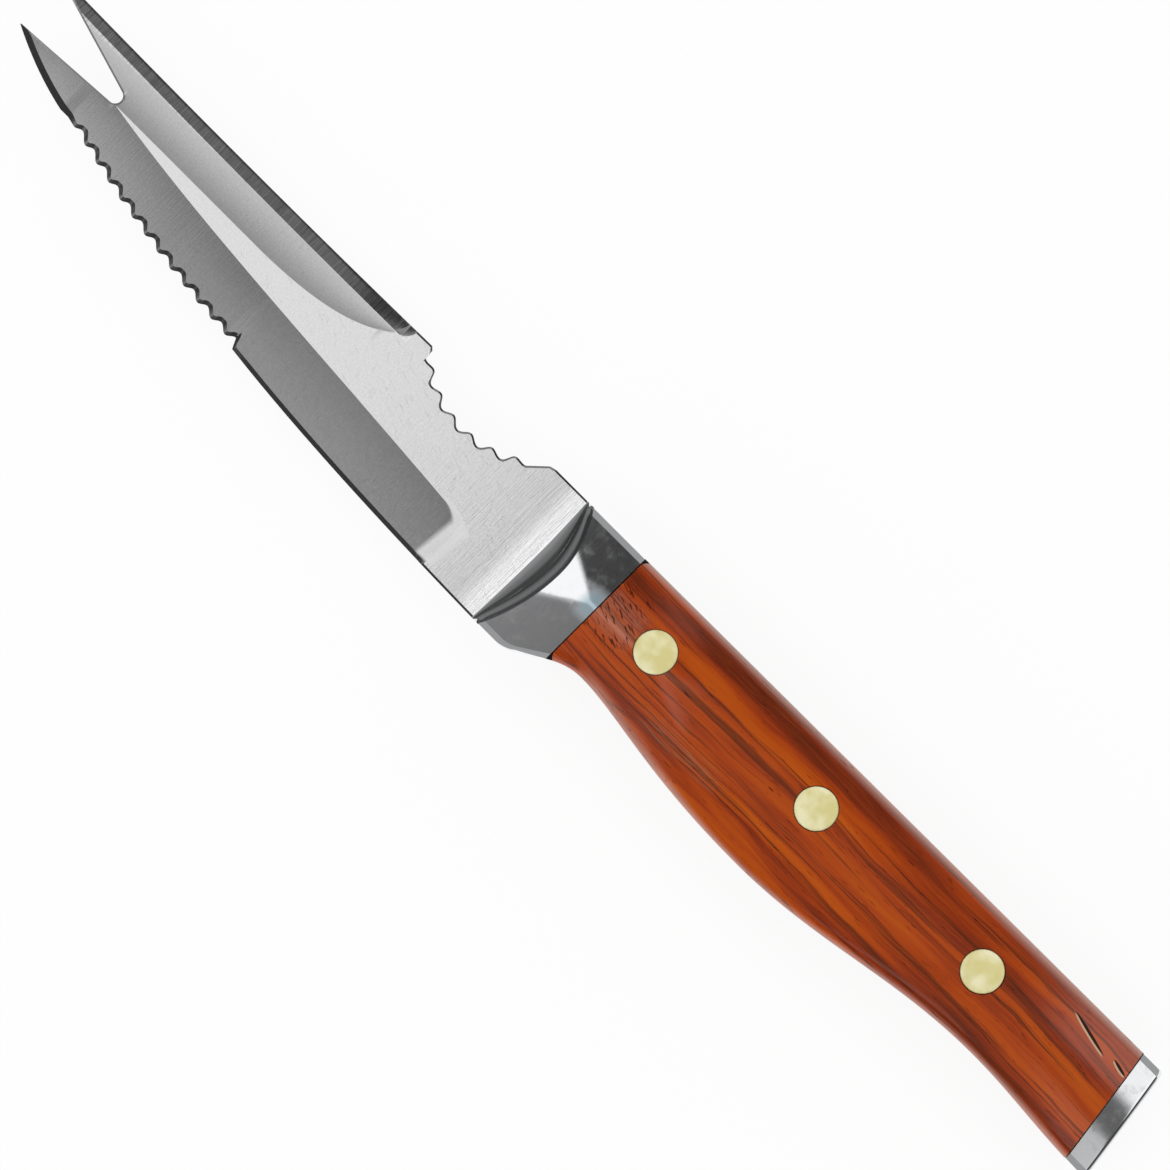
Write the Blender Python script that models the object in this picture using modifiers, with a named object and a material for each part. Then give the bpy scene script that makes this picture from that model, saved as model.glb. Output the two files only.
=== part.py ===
"""A bar knife: a forked and serrated stainless blade with a full tang, bolster cheeks, hardwood scales,
brass cutler's rivets and a slanted butt cap.

The knife is drawn with x = 0 at the joint of bolster and wood, x growing towards the butt, y = 0 on the line
of the blade's back, y falling towards the cutting edge, and z = 0 in the middle of the blade's thickness.
An empty then carries every piece to the knife's own frame: it lies on its right side, with the origin at the
bottom centre of its bounding box.
"""

import math

import bmesh
import bpy
import numpy as np

MM = 0.001

# Thicknesses
BLADE_THICKNESS = 2.4 * MM
HANDLE_THICKNESS = 13.0 * MM
JOINT_GAP = 0.25 * MM
HANDLE_EDGE_ROUND = 0.8 * MM

# Blade, along its length from the upper prong's tip
BLADE_LENGTH = 108.9 * MM
NOTCH_LENGTH = 19.8 * MM
NOTCH_ROOT_RADIUS = 1.15 * MM
NOTCH_ROOT_DEPTH = 6.85 * MM
PRONG_SETBACK = 1.45 * MM
PRONG_TIP_DEPTH = 9.1 * MM
PRONG_EDGE_LENGTH = 12.9 * MM
PRONG_EDGE_DEPTH = 13.9 * MM
PRONG_EDGE_BULGE = 0.48 * MM
PRONG_TIP_WIDTH = 0.15 * MM
BACK_HOLLOW = 0.35 * MM
PRONG_FLAT_LENGTH = 1.6 * MM

# Serrated edge
TOOTH_COUNT = 13
TOOTH_PITCH = 3.08 * MM
TOOTH_DEPTH = 0.8 * MM
FIRST_TOOTH_STATION = 17.4 * MM
FIRST_TOOTH_DEPTH = 14.25 * MM
LAST_TOOTH_DEPTH = 20.15 * MM
TOOTH_LINE_BULGE = 0.93 * MM

# Plain edge and heel
EDGE_STEP_LENGTH = 0.75 * MM
PLAIN_EDGE_START_DEPTH = 20.9 * MM
HEEL_DEPTH = 23.85 * MM
PLAIN_EDGE_BEND_LENGTH = 18.8 * MM
PLAIN_EDGE_BEND_DEPTH = 23.2 * MM

# Toothed recess in the blade's back
RECESS_TO_BOLSTER = 20.2 * MM
RECESS_RADIUS = 16.2 * MM
RECESS_DEPTH = 5.0 * MM
RECESS_TEETH = 6
RECESS_PITCH_DEGREES = 12.8
RECESS_TOOTH_HEIGHT = 1.0 * MM
RECESS_FIRST_VALLEY_DEGREES = -40.2
RECESS_RAMP_LENGTH = 2.5 * MM
RECESS_RAMP_SHORTFALL = 0.25 * MM
RECESS_WALL_LEAN = 0.12 * MM
RECESS_CORNER = 0.5 * MM

# Ground faces of the blade
EDGE_WIDTH = 0.12 * MM
SPINE_WIDTH = 0.5 * MM
HOLLOW_EDGE_THICKNESS = 0.7 * MM
UPPER_HOLLOW_DEPTH = 0.45 * MM
UPPER_HOLLOW_WIDTH = 5.9 * MM
EDGE_BEVEL_WIDTH = 0.45 * MM
PRONG_BEVEL_WIDTH = 0.9 * MM
SWEDGE_WIDTH = 2.15 * MM
SWEDGE_TIP_WIDTH = 1.65 * MM
SWEDGE_END_STATION = 74.1 * MM
SWEDGE_END_LENGTH = 1.9 * MM
EDGE_BEVEL_END_STATION = 97.9 * MM
HOLLOW_END_LENGTH = 5.2 * MM
# Bezier corners, in millimetres from the upper tip and below the back, of where each hollow meets the flat
LOWER_BORDER = ((19.9, 7.85), (40.0, 11.2), (65.0, 12.2), (92.7, 14.4))
UPPER_BORDER = ((50.0, 7.8), (62.0, 7.6), (68.5, 5.5), (72.5, 1.8))

# Bolster
BOLSTER_LENGTH = 11.9 * MM
BOLSTER_RAMP_LENGTH = 5.6 * MM
HEEL_CORNER = 1.4 * MM
JOINT_DEPTH = 20.45 * MM
SCOOP_RUN_AT_EDGE = 1.4 * MM
SCOOP_RUN_IN_MIDDLE = 4.6 * MM
SCOOP_LIP = 0.35 * MM

# Handle
SCALE_LENGTH = 101.4 * MM
BUTT_RISE = 0.4 * MM
BUTT_SLANT_DEGREES = 8.3
CAP_THICKNESS = 4.1 * MM
FRONT_WAIST_STATION = 5.5 * MM
FRONT_WAIST_DEPTH = 18.75 * MM
SWELL_STATION = 40.4 * MM
SWELL_DEPTH = 21.95 * MM
REAR_WAIST_STATION = 84.0 * MM
REAR_WAIST_DEPTH = 17.25 * MM
BUTT_DEPTH = 18.5 * MM
CAP_CORNER = 0.7 * MM
# How far the belly's curve runs on level from each waist and the swell, as a share of the way to the next
FRONT_WAIST_REACH = 0.21
SWELL_REACH_FORWARD = 0.54
SWELL_REACH_BACK = 0.37
REAR_WAIST_REACH = 0.35
BUTT_REACH = 0.4

# Rivets
RIVET_STATIONS = {"front": 10.5 * MM, "middle": 42.9 * MM, "rear": 76.5 * MM}
RIVET_DEPTHS = {"front": 8.55 * MM, "middle": 8.1 * MM, "rear": 7.75 * MM}
RIVET_HEAD_DIAMETER = 6.5 * MM
RIVET_HEAD_THICKNESS = 1.5 * MM
RIVET_HEAD_SINK = 0.05 * MM
RIVET_PIN_DIAMETER = 2.4 * MM
RIVET_TUBE_WALL = 0.7 * MM
RIVET_REACH = 3.0 * MM

# Modelling detail: segments of each kind of curve, and how far a cutter stands clear of what it cuts
CURVE_STEPS = 8
TOOTH_STEPS = 6
ROOT_STEPS = 10
SCOOP_STEPS = 8
ROUND_STEPS = 1
RIVET_STEPS = 32
CUT_MARGIN = 1.5 * MM
CLOSING_POWER = 3
ROUNDED_END_SHARES = (0.4, 0.7, 0.9)
NEARLY_CLOSED = 0.98
HOLLOW_ROW_SHARES = (0.35, 0.75)
ROW_SPACING = 0.4 * MM
STATION_SPACING = 0.1 * MM
SCOOP_TURN = math.radians(78)
SHARP_ANGLE_DEGREES = 30
WELD = 0.00001

BOLSTER_FRONT = -BOLSTER_LENGTH
TIP = BOLSTER_FRONT - BLADE_LENGTH
HALF_BLADE = BLADE_THICKNESS / 2
HALF_HANDLE = HANDLE_THICKNESS / 2
SEAT = HALF_BLADE + JOINT_GAP
HALF_GAP = JOINT_GAP / 2
PIN_RADIUS = RIVET_PIN_DIAMETER / 2
TUBE_BORE_RADIUS = PIN_RADIUS + JOINT_GAP
TUBE_RADIUS = TUBE_BORE_RADIUS + RIVET_TUBE_WALL
RIVET_HOLE_RADIUS = TUBE_RADIUS + JOINT_GAP
HEAD_RADIUS = RIVET_HEAD_DIAMETER / 2
HEAD_TOP = HALF_HANDLE - RIVET_HEAD_SINK
HEAD_UNDERSIDE = HEAD_TOP - RIVET_HEAD_THICKNESS


def clear_scene():
    for old in list(bpy.data.objects):
        bpy.data.objects.remove(old, do_unlink=True)


def make_collection(name):
    collection = bpy.data.collections.new(name)
    bpy.context.scene.collection.children.link(collection)
    return collection


def make_material(name, colour, roughness, metallic):
    material = bpy.data.materials.new(name)
    material.use_nodes = True
    shader = material.node_tree.nodes["Principled BSDF"]
    shader.inputs["Base Color"].default_value = (*colour, 1.0)
    shader.inputs["Roughness"].default_value = roughness
    shader.inputs["Metallic"].default_value = metallic
    material.diffuse_color = (*colour, 1.0)
    return material


def curve_through(corners, steps=CURVE_STEPS):
    """Points of the Bezier curve whose control polygon is the given corners."""
    t = np.linspace(0.0, 1.0, steps + 1)[:, None]
    points = [np.array([corner], dtype=float) for corner in corners]
    while len(points) > 1:
        points = [(1 - t) * first + t * second for first, second in zip(points, points[1:])]
    return points[0]


def bowed(start, end, bulge, steps=CURVE_STEPS):
    """A shallow curve that stands the bulge below its chord, measured along y in the middle."""
    middle = ((start[0] + end[0]) / 2, (start[1] + end[1]) / 2 - 2 * bulge)
    return curve_through([start, middle, end], steps)


def tangent_point(tip, centre, radius, side):
    """Where the line from the tip touches the circle, on its upper (+1) or lower (-1) side."""
    across = np.subtract(centre, tip)
    distance = math.hypot(*across)
    angle = math.atan2(across[1], across[0]) + side * math.asin(radius / distance)
    reach = math.sqrt(distance**2 - radius**2)
    return (tip[0] + reach * math.cos(angle), tip[1] + reach * math.sin(angle))


def arc_between(centre, radius, start, end, steps):
    """The arc from start to end round the circle's right-hand side, clockwise."""
    first = math.atan2(start[1] - centre[1], start[0] - centre[0])
    last = math.atan2(end[1] - centre[1], end[0] - centre[0])
    angles = np.linspace(first, last, steps + 1)
    return np.column_stack((centre[0] + radius * np.cos(angles), centre[1] + radius * np.sin(angles)))


def notch_outline():
    """The outline cut away for the fork: the notch, and all that lies ahead of the lower prong's tip."""
    upper_tip = (TIP, -PRONG_TIP_WIDTH)
    lower_tip = (TIP + PRONG_SETBACK, -PRONG_TIP_DEPTH)
    centre = (TIP + NOTCH_LENGTH - NOTCH_ROOT_RADIUS, -NOTCH_ROOT_DEPTH)
    upper = tangent_point(upper_tip, centre, NOTCH_ROOT_RADIUS, 1)
    lower = tangent_point(lower_tip, centre, NOTCH_ROOT_RADIUS, -1)
    root = arc_between(centre, NOTCH_ROOT_RADIUS, upper, lower, ROOT_STEPS)
    run_out = np.subtract(upper_tip, upper) * CUT_MARGIN / NOTCH_LENGTH
    under = -PRONG_EDGE_DEPTH
    return np.vstack(([np.add(upper_tip, run_out)], root,
                      [lower_tip, (lower_tip[0], under), (TIP - CUT_MARGIN, under)]))


def prong_edge():
    """The lower prong's outer edge, from its tip to the flat ahead of the first tooth."""
    tip = (TIP + PRONG_SETBACK, -PRONG_TIP_DEPTH - PRONG_TIP_WIDTH)
    corner = (tip[0] + PRONG_EDGE_LENGTH, -PRONG_EDGE_DEPTH)
    edge = bowed(tip, corner, PRONG_EDGE_BULGE)
    return np.vstack((edge, [(corner[0] + PRONG_FLAT_LENGTH, corner[1])]))


def tooth_line():
    """The curve that the tips of the edge's teeth lie on."""
    start = (TIP + FIRST_TOOTH_STATION, -FIRST_TOOTH_DEPTH)
    end = (start[0] + (TOOTH_COUNT - 1) * TOOTH_PITCH, -LAST_TOOTH_DEPTH)
    return bowed(start, end, TOOTH_LINE_BULGE, TOOTH_COUNT - 1)


def serrated_edge():
    """Teeth as a cosine wave of the pitch and depth, hung from the tooth line; it ends in a valley."""
    tips = tooth_line()
    past_last = 0.5
    along = np.arange(0, (TOOTH_COUNT - 1 + past_last) * TOOTH_STEPS + 1) / TOOTH_STEPS
    x = tips[0, 0] + along * TOOTH_PITCH
    y = np.interp(x, tips[:, 0], tips[:, 1]) + TOOTH_DEPTH * (1 - np.cos(2 * math.pi * along)) / 2
    return np.column_stack((x, y))


def plain_edge():
    """The plain edge from the step behind the teeth to the bolster."""
    start_x = serrated_edge()[-1, 0] + EDGE_STEP_LENGTH
    start = (start_x, -PLAIN_EDGE_START_DEPTH)
    bend = (start_x + PLAIN_EDGE_BEND_LENGTH, -PLAIN_EDGE_BEND_DEPTH)
    return curve_through([start, bend, (BOLSTER_FRONT, -HEEL_DEPTH)])


def heel_and_ramp():
    """The bolster's underside: level behind the heel, then a rounded corner and a ramp up to the wood."""
    corner = np.array((-BOLSTER_RAMP_LENGTH, -HEEL_DEPTH))
    joint = np.array((0.0, -JOINT_DEPTH))
    up_ramp = (joint - corner) / np.linalg.norm(joint - corner)
    before = corner - np.array((HEEL_CORNER, 0.0))
    after = corner + up_ramp * HEEL_CORNER
    return np.vstack((curve_through([before, corner, after], CURVE_STEPS // 2), [joint]))


def belly():
    """The underside of the wood: waist, palm swell, rear waist, and out to the butt's lower corner."""
    joint = (0.0, -JOINT_DEPTH)
    front_waist = (FRONT_WAIST_STATION, -FRONT_WAIST_DEPTH)
    swell = (SWELL_STATION, -SWELL_DEPTH)
    rear_waist = (REAR_WAIST_STATION, -REAR_WAIST_DEPTH)
    butt = (butt_line(-BUTT_DEPTH, CAP_THICKNESS), -BUTT_DEPTH)
    rise = swell[0] - front_waist[0]
    fall = rear_waist[0] - swell[0]
    tail = butt[0] - rear_waist[0]
    into_waist = (front_waist[0] / 2, front_waist[1])
    runs = [
        curve_through([joint, into_waist, front_waist], CURVE_STEPS // 2),
        curve_through([front_waist, (front_waist[0] + FRONT_WAIST_REACH * rise, front_waist[1]),
                       (swell[0] - SWELL_REACH_FORWARD * rise, swell[1]), swell]),
        curve_through([swell, (swell[0] + SWELL_REACH_BACK * fall, swell[1]),
                       (rear_waist[0] - SWELL_REACH_BACK * fall, rear_waist[1]), rear_waist]),
        curve_through([rear_waist, (rear_waist[0] + REAR_WAIST_REACH * tail, rear_waist[1]),
                       (butt[0] - BUTT_REACH * tail, butt[1]), butt]),
    ]
    return joined(runs)


def butt_line(y, offset):
    """x on the slanted line that lies the given distance behind the joint of wood and cap."""
    return SCALE_LENGTH + offset + (BUTT_RISE - y) * math.tan(math.radians(BUTT_SLANT_DEGREES))


def joined(runs):
    """The runs of points in one, without the repeated points where they meet."""
    points = np.vstack(runs)
    step = np.linalg.norm(np.diff(points, axis=0), axis=1)
    return points[np.concatenate(([True], step > WELD))]


def recess_outline():
    """The toothed recess from its front wall to its rear ramp.

    Tooth tips lie on a circle sunk into the blade's back. A cosine wave of the tooth height goes round it,
    deepest in the valleys.
    """
    centre = (BOLSTER_FRONT - RECESS_TO_BOLSTER, RECESS_RADIUS - RECESS_DEPTH)
    turns = np.arange(RECESS_TEETH * TOOTH_STEPS + 1) / TOOTH_STEPS
    angle = np.radians(RECESS_FIRST_VALLEY_DEGREES + RECESS_PITCH_DEGREES * turns)
    radius = RECESS_RADIUS + RECESS_TOOTH_HEIGHT * (1 + np.cos(2 * math.pi * turns)) / 2
    wave = np.column_stack((centre[0] + radius * np.sin(angle), centre[1] - radius * np.cos(angle)))
    wall_top = (wave[0, 0] - RECESS_WALL_LEAN, -RECESS_CORNER)
    wall_corner = (wall_top[0] - RECESS_CORNER, 0.0)
    ramp_top = (wave[-1, 0] + RECESS_RAMP_LENGTH, -RECESS_RAMP_SHORTFALL)
    ramp_end = (ramp_top[0] + 2 * RECESS_CORNER, 0.0)
    return np.vstack(([wall_corner, wall_top], wave, [ramp_top, ramp_end]))


def handle_outline():
    """The outline shared by bolster, wood and cap, run on forward past the bolster's front."""
    front = BOLSTER_FRONT - CUT_MARGIN
    under = belly()
    lower = under[-1]
    upper = np.array((butt_line(BUTT_RISE, CAP_THICKNESS), BUTT_RISE))
    up_end = (upper - lower) / np.linalg.norm(upper - lower)
    lower_corner = [lower - (CAP_CORNER, 0.0), lower + up_end * CAP_CORNER]
    upper_corner = [upper - up_end * CAP_CORNER, upper - (CAP_CORNER, 0.0)]
    return joined([[(front, -HEEL_DEPTH)], heel_and_ramp(), under[:-1], lower_corner, upper_corner,
                   [(0.0, 0.0), (front, 0.0)]])


def circle(centre, radius):
    angles = np.linspace(0.0, 2 * math.pi, RIVET_STEPS, endpoint=False)
    return np.column_stack((centre[0] + radius * np.cos(angles), centre[1] + radius * np.sin(angles)))


def link(thing, collection, datum):
    collection.objects.link(thing)
    thing.parent = datum
    return thing


def mark_cutter(cutter):
    cutter.hide_render = True
    cutter.display_type = "WIRE"
    return cutter


def plate_mesh(name, loops, low, high, edge_round=0.0):
    """Closed loops filled as a flat curve between two heights; inner loops are holes."""
    curve = bpy.data.curves.new(name, "CURVE")
    curve.dimensions = "2D"
    curve.fill_mode = "BOTH"
    curve.extrude = (high - low) / 2 - edge_round
    curve.bevel_depth = edge_round
    curve.bevel_resolution = ROUND_STEPS
    curve.offset = -edge_round
    for loop in loops:
        spline = curve.splines.new("POLY")
        spline.points.add(len(loop) - 1)
        for point, (x, y) in zip(spline.points, loop):
            point.co = (x, y, 0.0, 1.0)
        spline.use_cyclic_u = True
    outline = bpy.data.objects.new(name, curve)
    bpy.context.scene.collection.objects.link(outline)
    evaluated = outline.evaluated_get(bpy.context.evaluated_depsgraph_get())
    mesh = bpy.data.meshes.new_from_object(evaluated)
    bpy.data.objects.remove(outline, do_unlink=True)
    work = bmesh.new()
    work.from_mesh(mesh)
    bmesh.ops.translate(work, verts=work.verts, vec=(0.0, 0.0, (low + high) / 2))
    finish_mesh(work, mesh)
    return mesh


def finish_mesh(work, mesh):
    bmesh.ops.remove_doubles(work, verts=work.verts, dist=WELD)
    bmesh.ops.recalc_face_normals(work, faces=work.faces)
    work.to_mesh(mesh)
    work.free()


def loft_mesh(name, rings):
    """A closed solid through rings of as many points each, with a flat face on both ends."""
    mesh = bpy.data.meshes.new(name)
    work = bmesh.new()
    loops = [[work.verts.new(point) for point in ring] for ring in rings]
    work.faces.new(loops[0])
    work.faces.new(loops[-1])
    for one, two in zip(loops, loops[1:]):
        for i in range(len(one)):
            j = (i + 1) % len(one)
            work.faces.new((one[i], one[j], two[j], two[i]))
    finish_mesh(work, mesh)
    return mesh


def turned(name, profile, centre, collection, datum):
    """A profile of (radius, height) points, down its outer side, turned round the upright line at centre."""
    mesh = bpy.data.meshes.new(name)
    mesh.from_pydata([(radius, 0.0, height) for radius, height in profile],
                     [(i, i + 1) for i in range(len(profile) - 1)], [])
    thing = link(bpy.data.objects.new(name, mesh), collection, datum)
    thing.location = (centre[0], centre[1], 0.0)
    screw = thing.modifiers.new("turn", "SCREW")
    screw.axis = "Z"
    screw.steps = RIVET_STEPS
    screw.render_steps = RIVET_STEPS
    screw.use_merge_vertices = True
    screw.merge_threshold = WELD
    return thing


def cut(thing, cutter, operation="DIFFERENCE"):
    boolean = thing.modifiers.new(cutter.name, "BOOLEAN")
    boolean.operation = operation
    boolean.solver = "EXACT"
    boolean.object = cutter


def on_line(x, *runs):
    """y at x on the line through runs of points, whichever way they run."""
    points = np.vstack(runs)
    points = points[np.argsort(points[:, 0])]
    return np.interp(x, points[:, 0], points[:, 1])


def from_tip(stations):
    """(distance from the tip, depth under the back) pairs in millimetres as drawing coordinates."""
    return [(TIP + along * MM, -depth * MM) for along, depth in stations]


def closing(x, end, length):
    """0 ahead of the rounded end of a grind, rising to 1 at the end as a quarter of a squarish ellipse."""
    t = np.clip((x - (end - length)) / length, 0.0, 1.0)
    return 1 - (1 - t**CLOSING_POWER) ** (1 / CLOSING_POWER)


def prong_line():
    """The lower prong's edge, run on straight past its tip to the front of the upper prong."""
    edge = prong_edge()
    ahead = edge[0] + (edge[0] - edge[1]) * (edge[0, 0] - TIP) / (edge[1, 0] - edge[0, 0])
    return np.vstack(([ahead], edge))


def under_line():
    """Everything along the underside from the lower prong to the butt: teeth, edge, heel, ramp and belly."""
    return joined([prong_line(), serrated_edge(), plain_edge(), heel_and_ramp(), belly()])


def over_line():
    """Everything along the back from the upper prong to the butt, with the toothed recess."""
    recess = recess_outline()
    back = bowed((TIP, 0.0), recess[0], BACK_HOLLOW)
    return joined([back, recess, [(0.0, 0.0), (SCALE_LENGTH + CAP_THICKNESS, BUTT_RISE)]])


def edge_line(x):
    """The cutting edge without its teeth."""
    return on_line(x, prong_line(), tooth_line(), plain_edge())


def lower_border(x):
    """The line where the lower hollow meets the flat, run on straight ahead of the notch."""
    line = curve_through(from_tip(LOWER_BORDER))
    ahead = line[0] + (line[0] - line[1]) * CURVE_STEPS
    return on_line(x, [ahead], line)


def swedge_border(x):
    """The line where the swedge, the false edge ground on the blade's back, meets the upper hollow."""
    width = np.interp(x, [TIP, TIP + SWEDGE_END_STATION], [SWEDGE_TIP_WIDTH, SWEDGE_WIDTH])
    return on_line(x, over_line()) - width


def upper_border(x):
    """The line where the upper hollow meets the flat; it closes on the swedge."""
    line = on_line(x, curve_through(from_tip(UPPER_BORDER)))
    return np.minimum(line, swedge_border(x) - 2 * ROW_SPACING)


def hollow(y, border, edge, depth):
    """Half thickness of a wheel's cut: a parabola from the blade's face at the border to a level floor."""
    share = np.clip((y - border) / (edge - border), 0.0, 1.0)
    return HALF_BLADE - depth * (1 - (1 - share) ** 2)


def flat_grind(y, border, edge, border_height, edge_height):
    """Half thickness of a straight bevel through the border and the edge, as far as the blade's face."""
    share = (y - border) / (edge - border)
    return np.clip(border_height + (edge_height - border_height) * share, edge_height, HALF_BLADE)


def lower_hollow(x, y):
    end = TIP + EDGE_BEVEL_END_STATION
    edge = edge_line(x)
    border = lower_border(x)
    border = border + (edge - border) * np.minimum(closing(x, end, HOLLOW_END_LENGTH), NEARLY_CLOSED)
    cut = hollow(y, border, edge, HALF_BLADE - HOLLOW_EDGE_THICKNESS / 2)
    return np.where(x < end, cut, HALF_BLADE)


def upper_hollow_depth(x):
    """Depth of the upper hollow at the swedge, less where the hollow narrows."""
    narrowing = np.clip((swedge_border(x) - upper_border(x)) / UPPER_HOLLOW_WIDTH, 0.0, 1.0)
    return UPPER_HOLLOW_DEPTH * narrowing * (x < TIP + SWEDGE_END_STATION)


def swedge(x, y):
    border_height = HALF_BLADE - upper_hollow_depth(x)
    cut = flat_grind(y, swedge_border(x), on_line(x, over_line()), border_height, SPINE_WIDTH / 2)
    return HALF_BLADE - (HALF_BLADE - cut) * (1 - closing(x, TIP + SWEDGE_END_STATION, SWEDGE_END_LENGTH))


def bevel_width(x):
    """Width of the edge bevel, broad on the lower prong."""
    prong_end = TIP + PRONG_SETBACK + PRONG_EDGE_LENGTH
    return np.interp(x, [prong_end, TIP + FIRST_TOOTH_STATION], [PRONG_BEVEL_WIDTH, EDGE_BEVEL_WIDTH])


def edge_bevel(x, y):
    edge = on_line(x, under_line())
    cut = flat_grind(y, edge + bevel_width(x), edge, HOLLOW_EDGE_THICKNESS / 2, EDGE_WIDTH / 2)
    return np.where(x <= TIP + EDGE_BEVEL_END_STATION, cut, HALF_BLADE)


def half_thickness(x, y):
    """Half the blade's thickness: the least of what the two hollows, the swedge and the edge bevel leave."""
    upper = hollow(y, upper_border(x), swedge_border(x), upper_hollow_depth(x))
    return np.minimum.reduce([lower_hollow(x, y), upper, swedge(x, y), edge_bevel(x, y)])


def blade_stations():
    """The x of every section of the blade: each corner of both outlines, and the ends of the grinds."""
    hollow_end = TIP + EDGE_BEVEL_END_STATION
    swedge_end = TIP + SWEDGE_END_STATION
    left_over = 1 - np.array(ROUNDED_END_SHARES)
    ends = np.concatenate((hollow_end - HOLLOW_END_LENGTH * left_over, [hollow_end, hollow_end + ROW_SPACING],
                           swedge_end - SWEDGE_END_LENGTH * left_over, [swedge_end]))
    every = np.unique(np.concatenate((under_line()[:, 0], over_line()[:, 0], ends)))
    last = butt_line(BUTT_RISE, 0.0) - 2 * ROW_SPACING
    kept = [TIP]
    for x in every[every < last]:
        if x - kept[-1] > STATION_SPACING:
            kept.append(x)
    return np.array(kept)


def blade_rows(x):
    """y of the rows that run the length of the blade, from its back to its edge, at each x."""
    back = on_line(x, over_line())
    swedge_row = swedge_border(x)
    upper_row = upper_border(x)
    behind_root = np.maximum(x, TIP + NOTCH_LENGTH)
    lower_row = np.minimum(lower_border(behind_root), upper_row - ROW_SPACING / 4)
    edge = on_line(x, under_line())
    bevel_row = edge + bevel_width(x)
    inner = np.maximum(edge_line(x), edge) + bevel_width(x) + TOOTH_DEPTH
    floor_rows = [lower_row + (inner - lower_row) * share for share in HOLLOW_ROW_SHARES]
    return np.stack([back, swedge_row, (swedge_row + upper_row) / 2, upper_row, lower_row, *floor_rows,
                     bevel_row, edge], axis=1)


def blade_rings():
    """Sections of the blade and tang: the left face from back to edge, then the right face home again.

    The last section lies on the slanted joint with the cap.
    """
    x = blade_stations()
    rows = blade_rows(x)
    along = np.broadcast_to(x[:, None], rows.shape)
    height = half_thickness(along, rows)
    end_rows = blade_rows(butt_line(np.array([0.0]), -HALF_GAP))
    along = np.vstack((along, butt_line(end_rows, -HALF_GAP)))
    rows = np.vstack((rows, end_rows))
    height = np.vstack((height, np.full_like(end_rows, HALF_BLADE)))
    left = np.stack((along, rows, height), axis=2)
    right = np.stack((along, rows, -height), axis=2)[:, ::-1]
    return np.concatenate((left, right), axis=1)


def make_blade(parts, cutters, datum):
    blade = link(bpy.data.objects.new("blade", loft_mesh("blade", blade_rings())), parts, datum)
    clear = HALF_BLADE + CUT_MARGIN
    cut(blade, region("fork_notch", notch_outline(), -clear, clear, cutters, datum))
    for place in RIVET_STATIONS:
        hole = circle(rivet_centre(place), RIVET_HOLE_RADIUS)
        cut(blade, region("tang_hole_" + place, hole, -clear, clear, cutters, datum))
    return blade


def rivet_centre(place):
    return (RIVET_STATIONS[place], -RIVET_DEPTHS[place])


def region(name, outline, low, high, cutters, datum):
    mesh = plate_mesh(name, [outline], low, high)
    return mark_cutter(link(bpy.data.objects.new(name, mesh), cutters, datum))


def side_heights(side):
    """The heights between a cheek's or scale's seat on the tang and clear of its outer face."""
    return sorted((side * SEAT, side * (HALF_HANDLE + CUT_MARGIN)))


def envelope_piece(name, parts, datum, keep):
    """A piece of the whole ground handle, kept where the region solid is."""
    envelope = plate_mesh(name, [handle_outline()], -HALF_HANDLE, HALF_HANDLE, HANDLE_EDGE_ROUND)
    piece = link(bpy.data.objects.new(name, envelope), parts, datum)
    cut(piece, keep, "INTERSECT")
    return piece


def scoop_rings(side):
    """Sections, from back to edge, of the concave scoop ahead of the bolster.

    Each is a quarter ellipse that leaves the blade's face level at the bolster's front and climbs to the
    bolster's face. Its run is longest in the middle, a parabola across the blade, so the two meet in an arc.
    """
    low = SEAT + SCOOP_LIP
    top = HALF_HANDLE + CUT_MARGIN
    turn = np.linspace(0.0, SCOOP_TURN, SCOOP_STEPS + 1)
    middle = -HEEL_DEPTH / 2
    rings = []
    for y in np.linspace(CUT_MARGIN, -HEEL_DEPTH - CUT_MARGIN, 2 * SCOOP_STEPS):
        outward = ((y - middle) / middle) ** 2
        run = SCOOP_RUN_IN_MIDDLE - (SCOOP_RUN_IN_MIDDLE - SCOOP_RUN_AT_EDGE) * outward
        x = BOLSTER_FRONT + run * np.sin(turn) / math.sin(SCOOP_TURN)
        z = low + (HALF_HANDLE - low) * (1 - np.cos(turn)) / (1 - math.cos(SCOOP_TURN))
        x = np.concatenate(([BOLSTER_FRONT - CUT_MARGIN], x, [x[-1], BOLSTER_FRONT - CUT_MARGIN]))
        z = np.concatenate(([low], z, [top, top]))
        rings.append([(a, y, side * b) for a, b in zip(x, z)])
    return rings


def make_bolster(side_name, side, parts, cutters, datum):
    rear = -HALF_GAP
    under = -HEEL_DEPTH - CUT_MARGIN
    outline = [(BOLSTER_FRONT, CUT_MARGIN), (BOLSTER_FRONT, under), (rear, under), (rear, CUT_MARGIN)]
    name = "bolster_" + side_name
    low, high = side_heights(side)
    keep = region(name + "_region", outline, low, high, cutters, datum)
    bolster = envelope_piece(name, parts, datum, keep)
    wheel_name = name + "_scoop"
    wheel = link(bpy.data.objects.new(wheel_name, loft_mesh(wheel_name, scoop_rings(side))), cutters, datum)
    cut(bolster, mark_cutter(wheel))
    return bolster


def slanted_region(front, rear_offset):
    """A plan outline from an upright front line to a line parallel to the wood's slanted end."""
    above = BUTT_RISE + CUT_MARGIN
    under = -SWELL_DEPTH - CUT_MARGIN
    return [(front, above), (front, under), (butt_line(under, rear_offset), under),
            (butt_line(above, rear_offset), above)]


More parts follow.
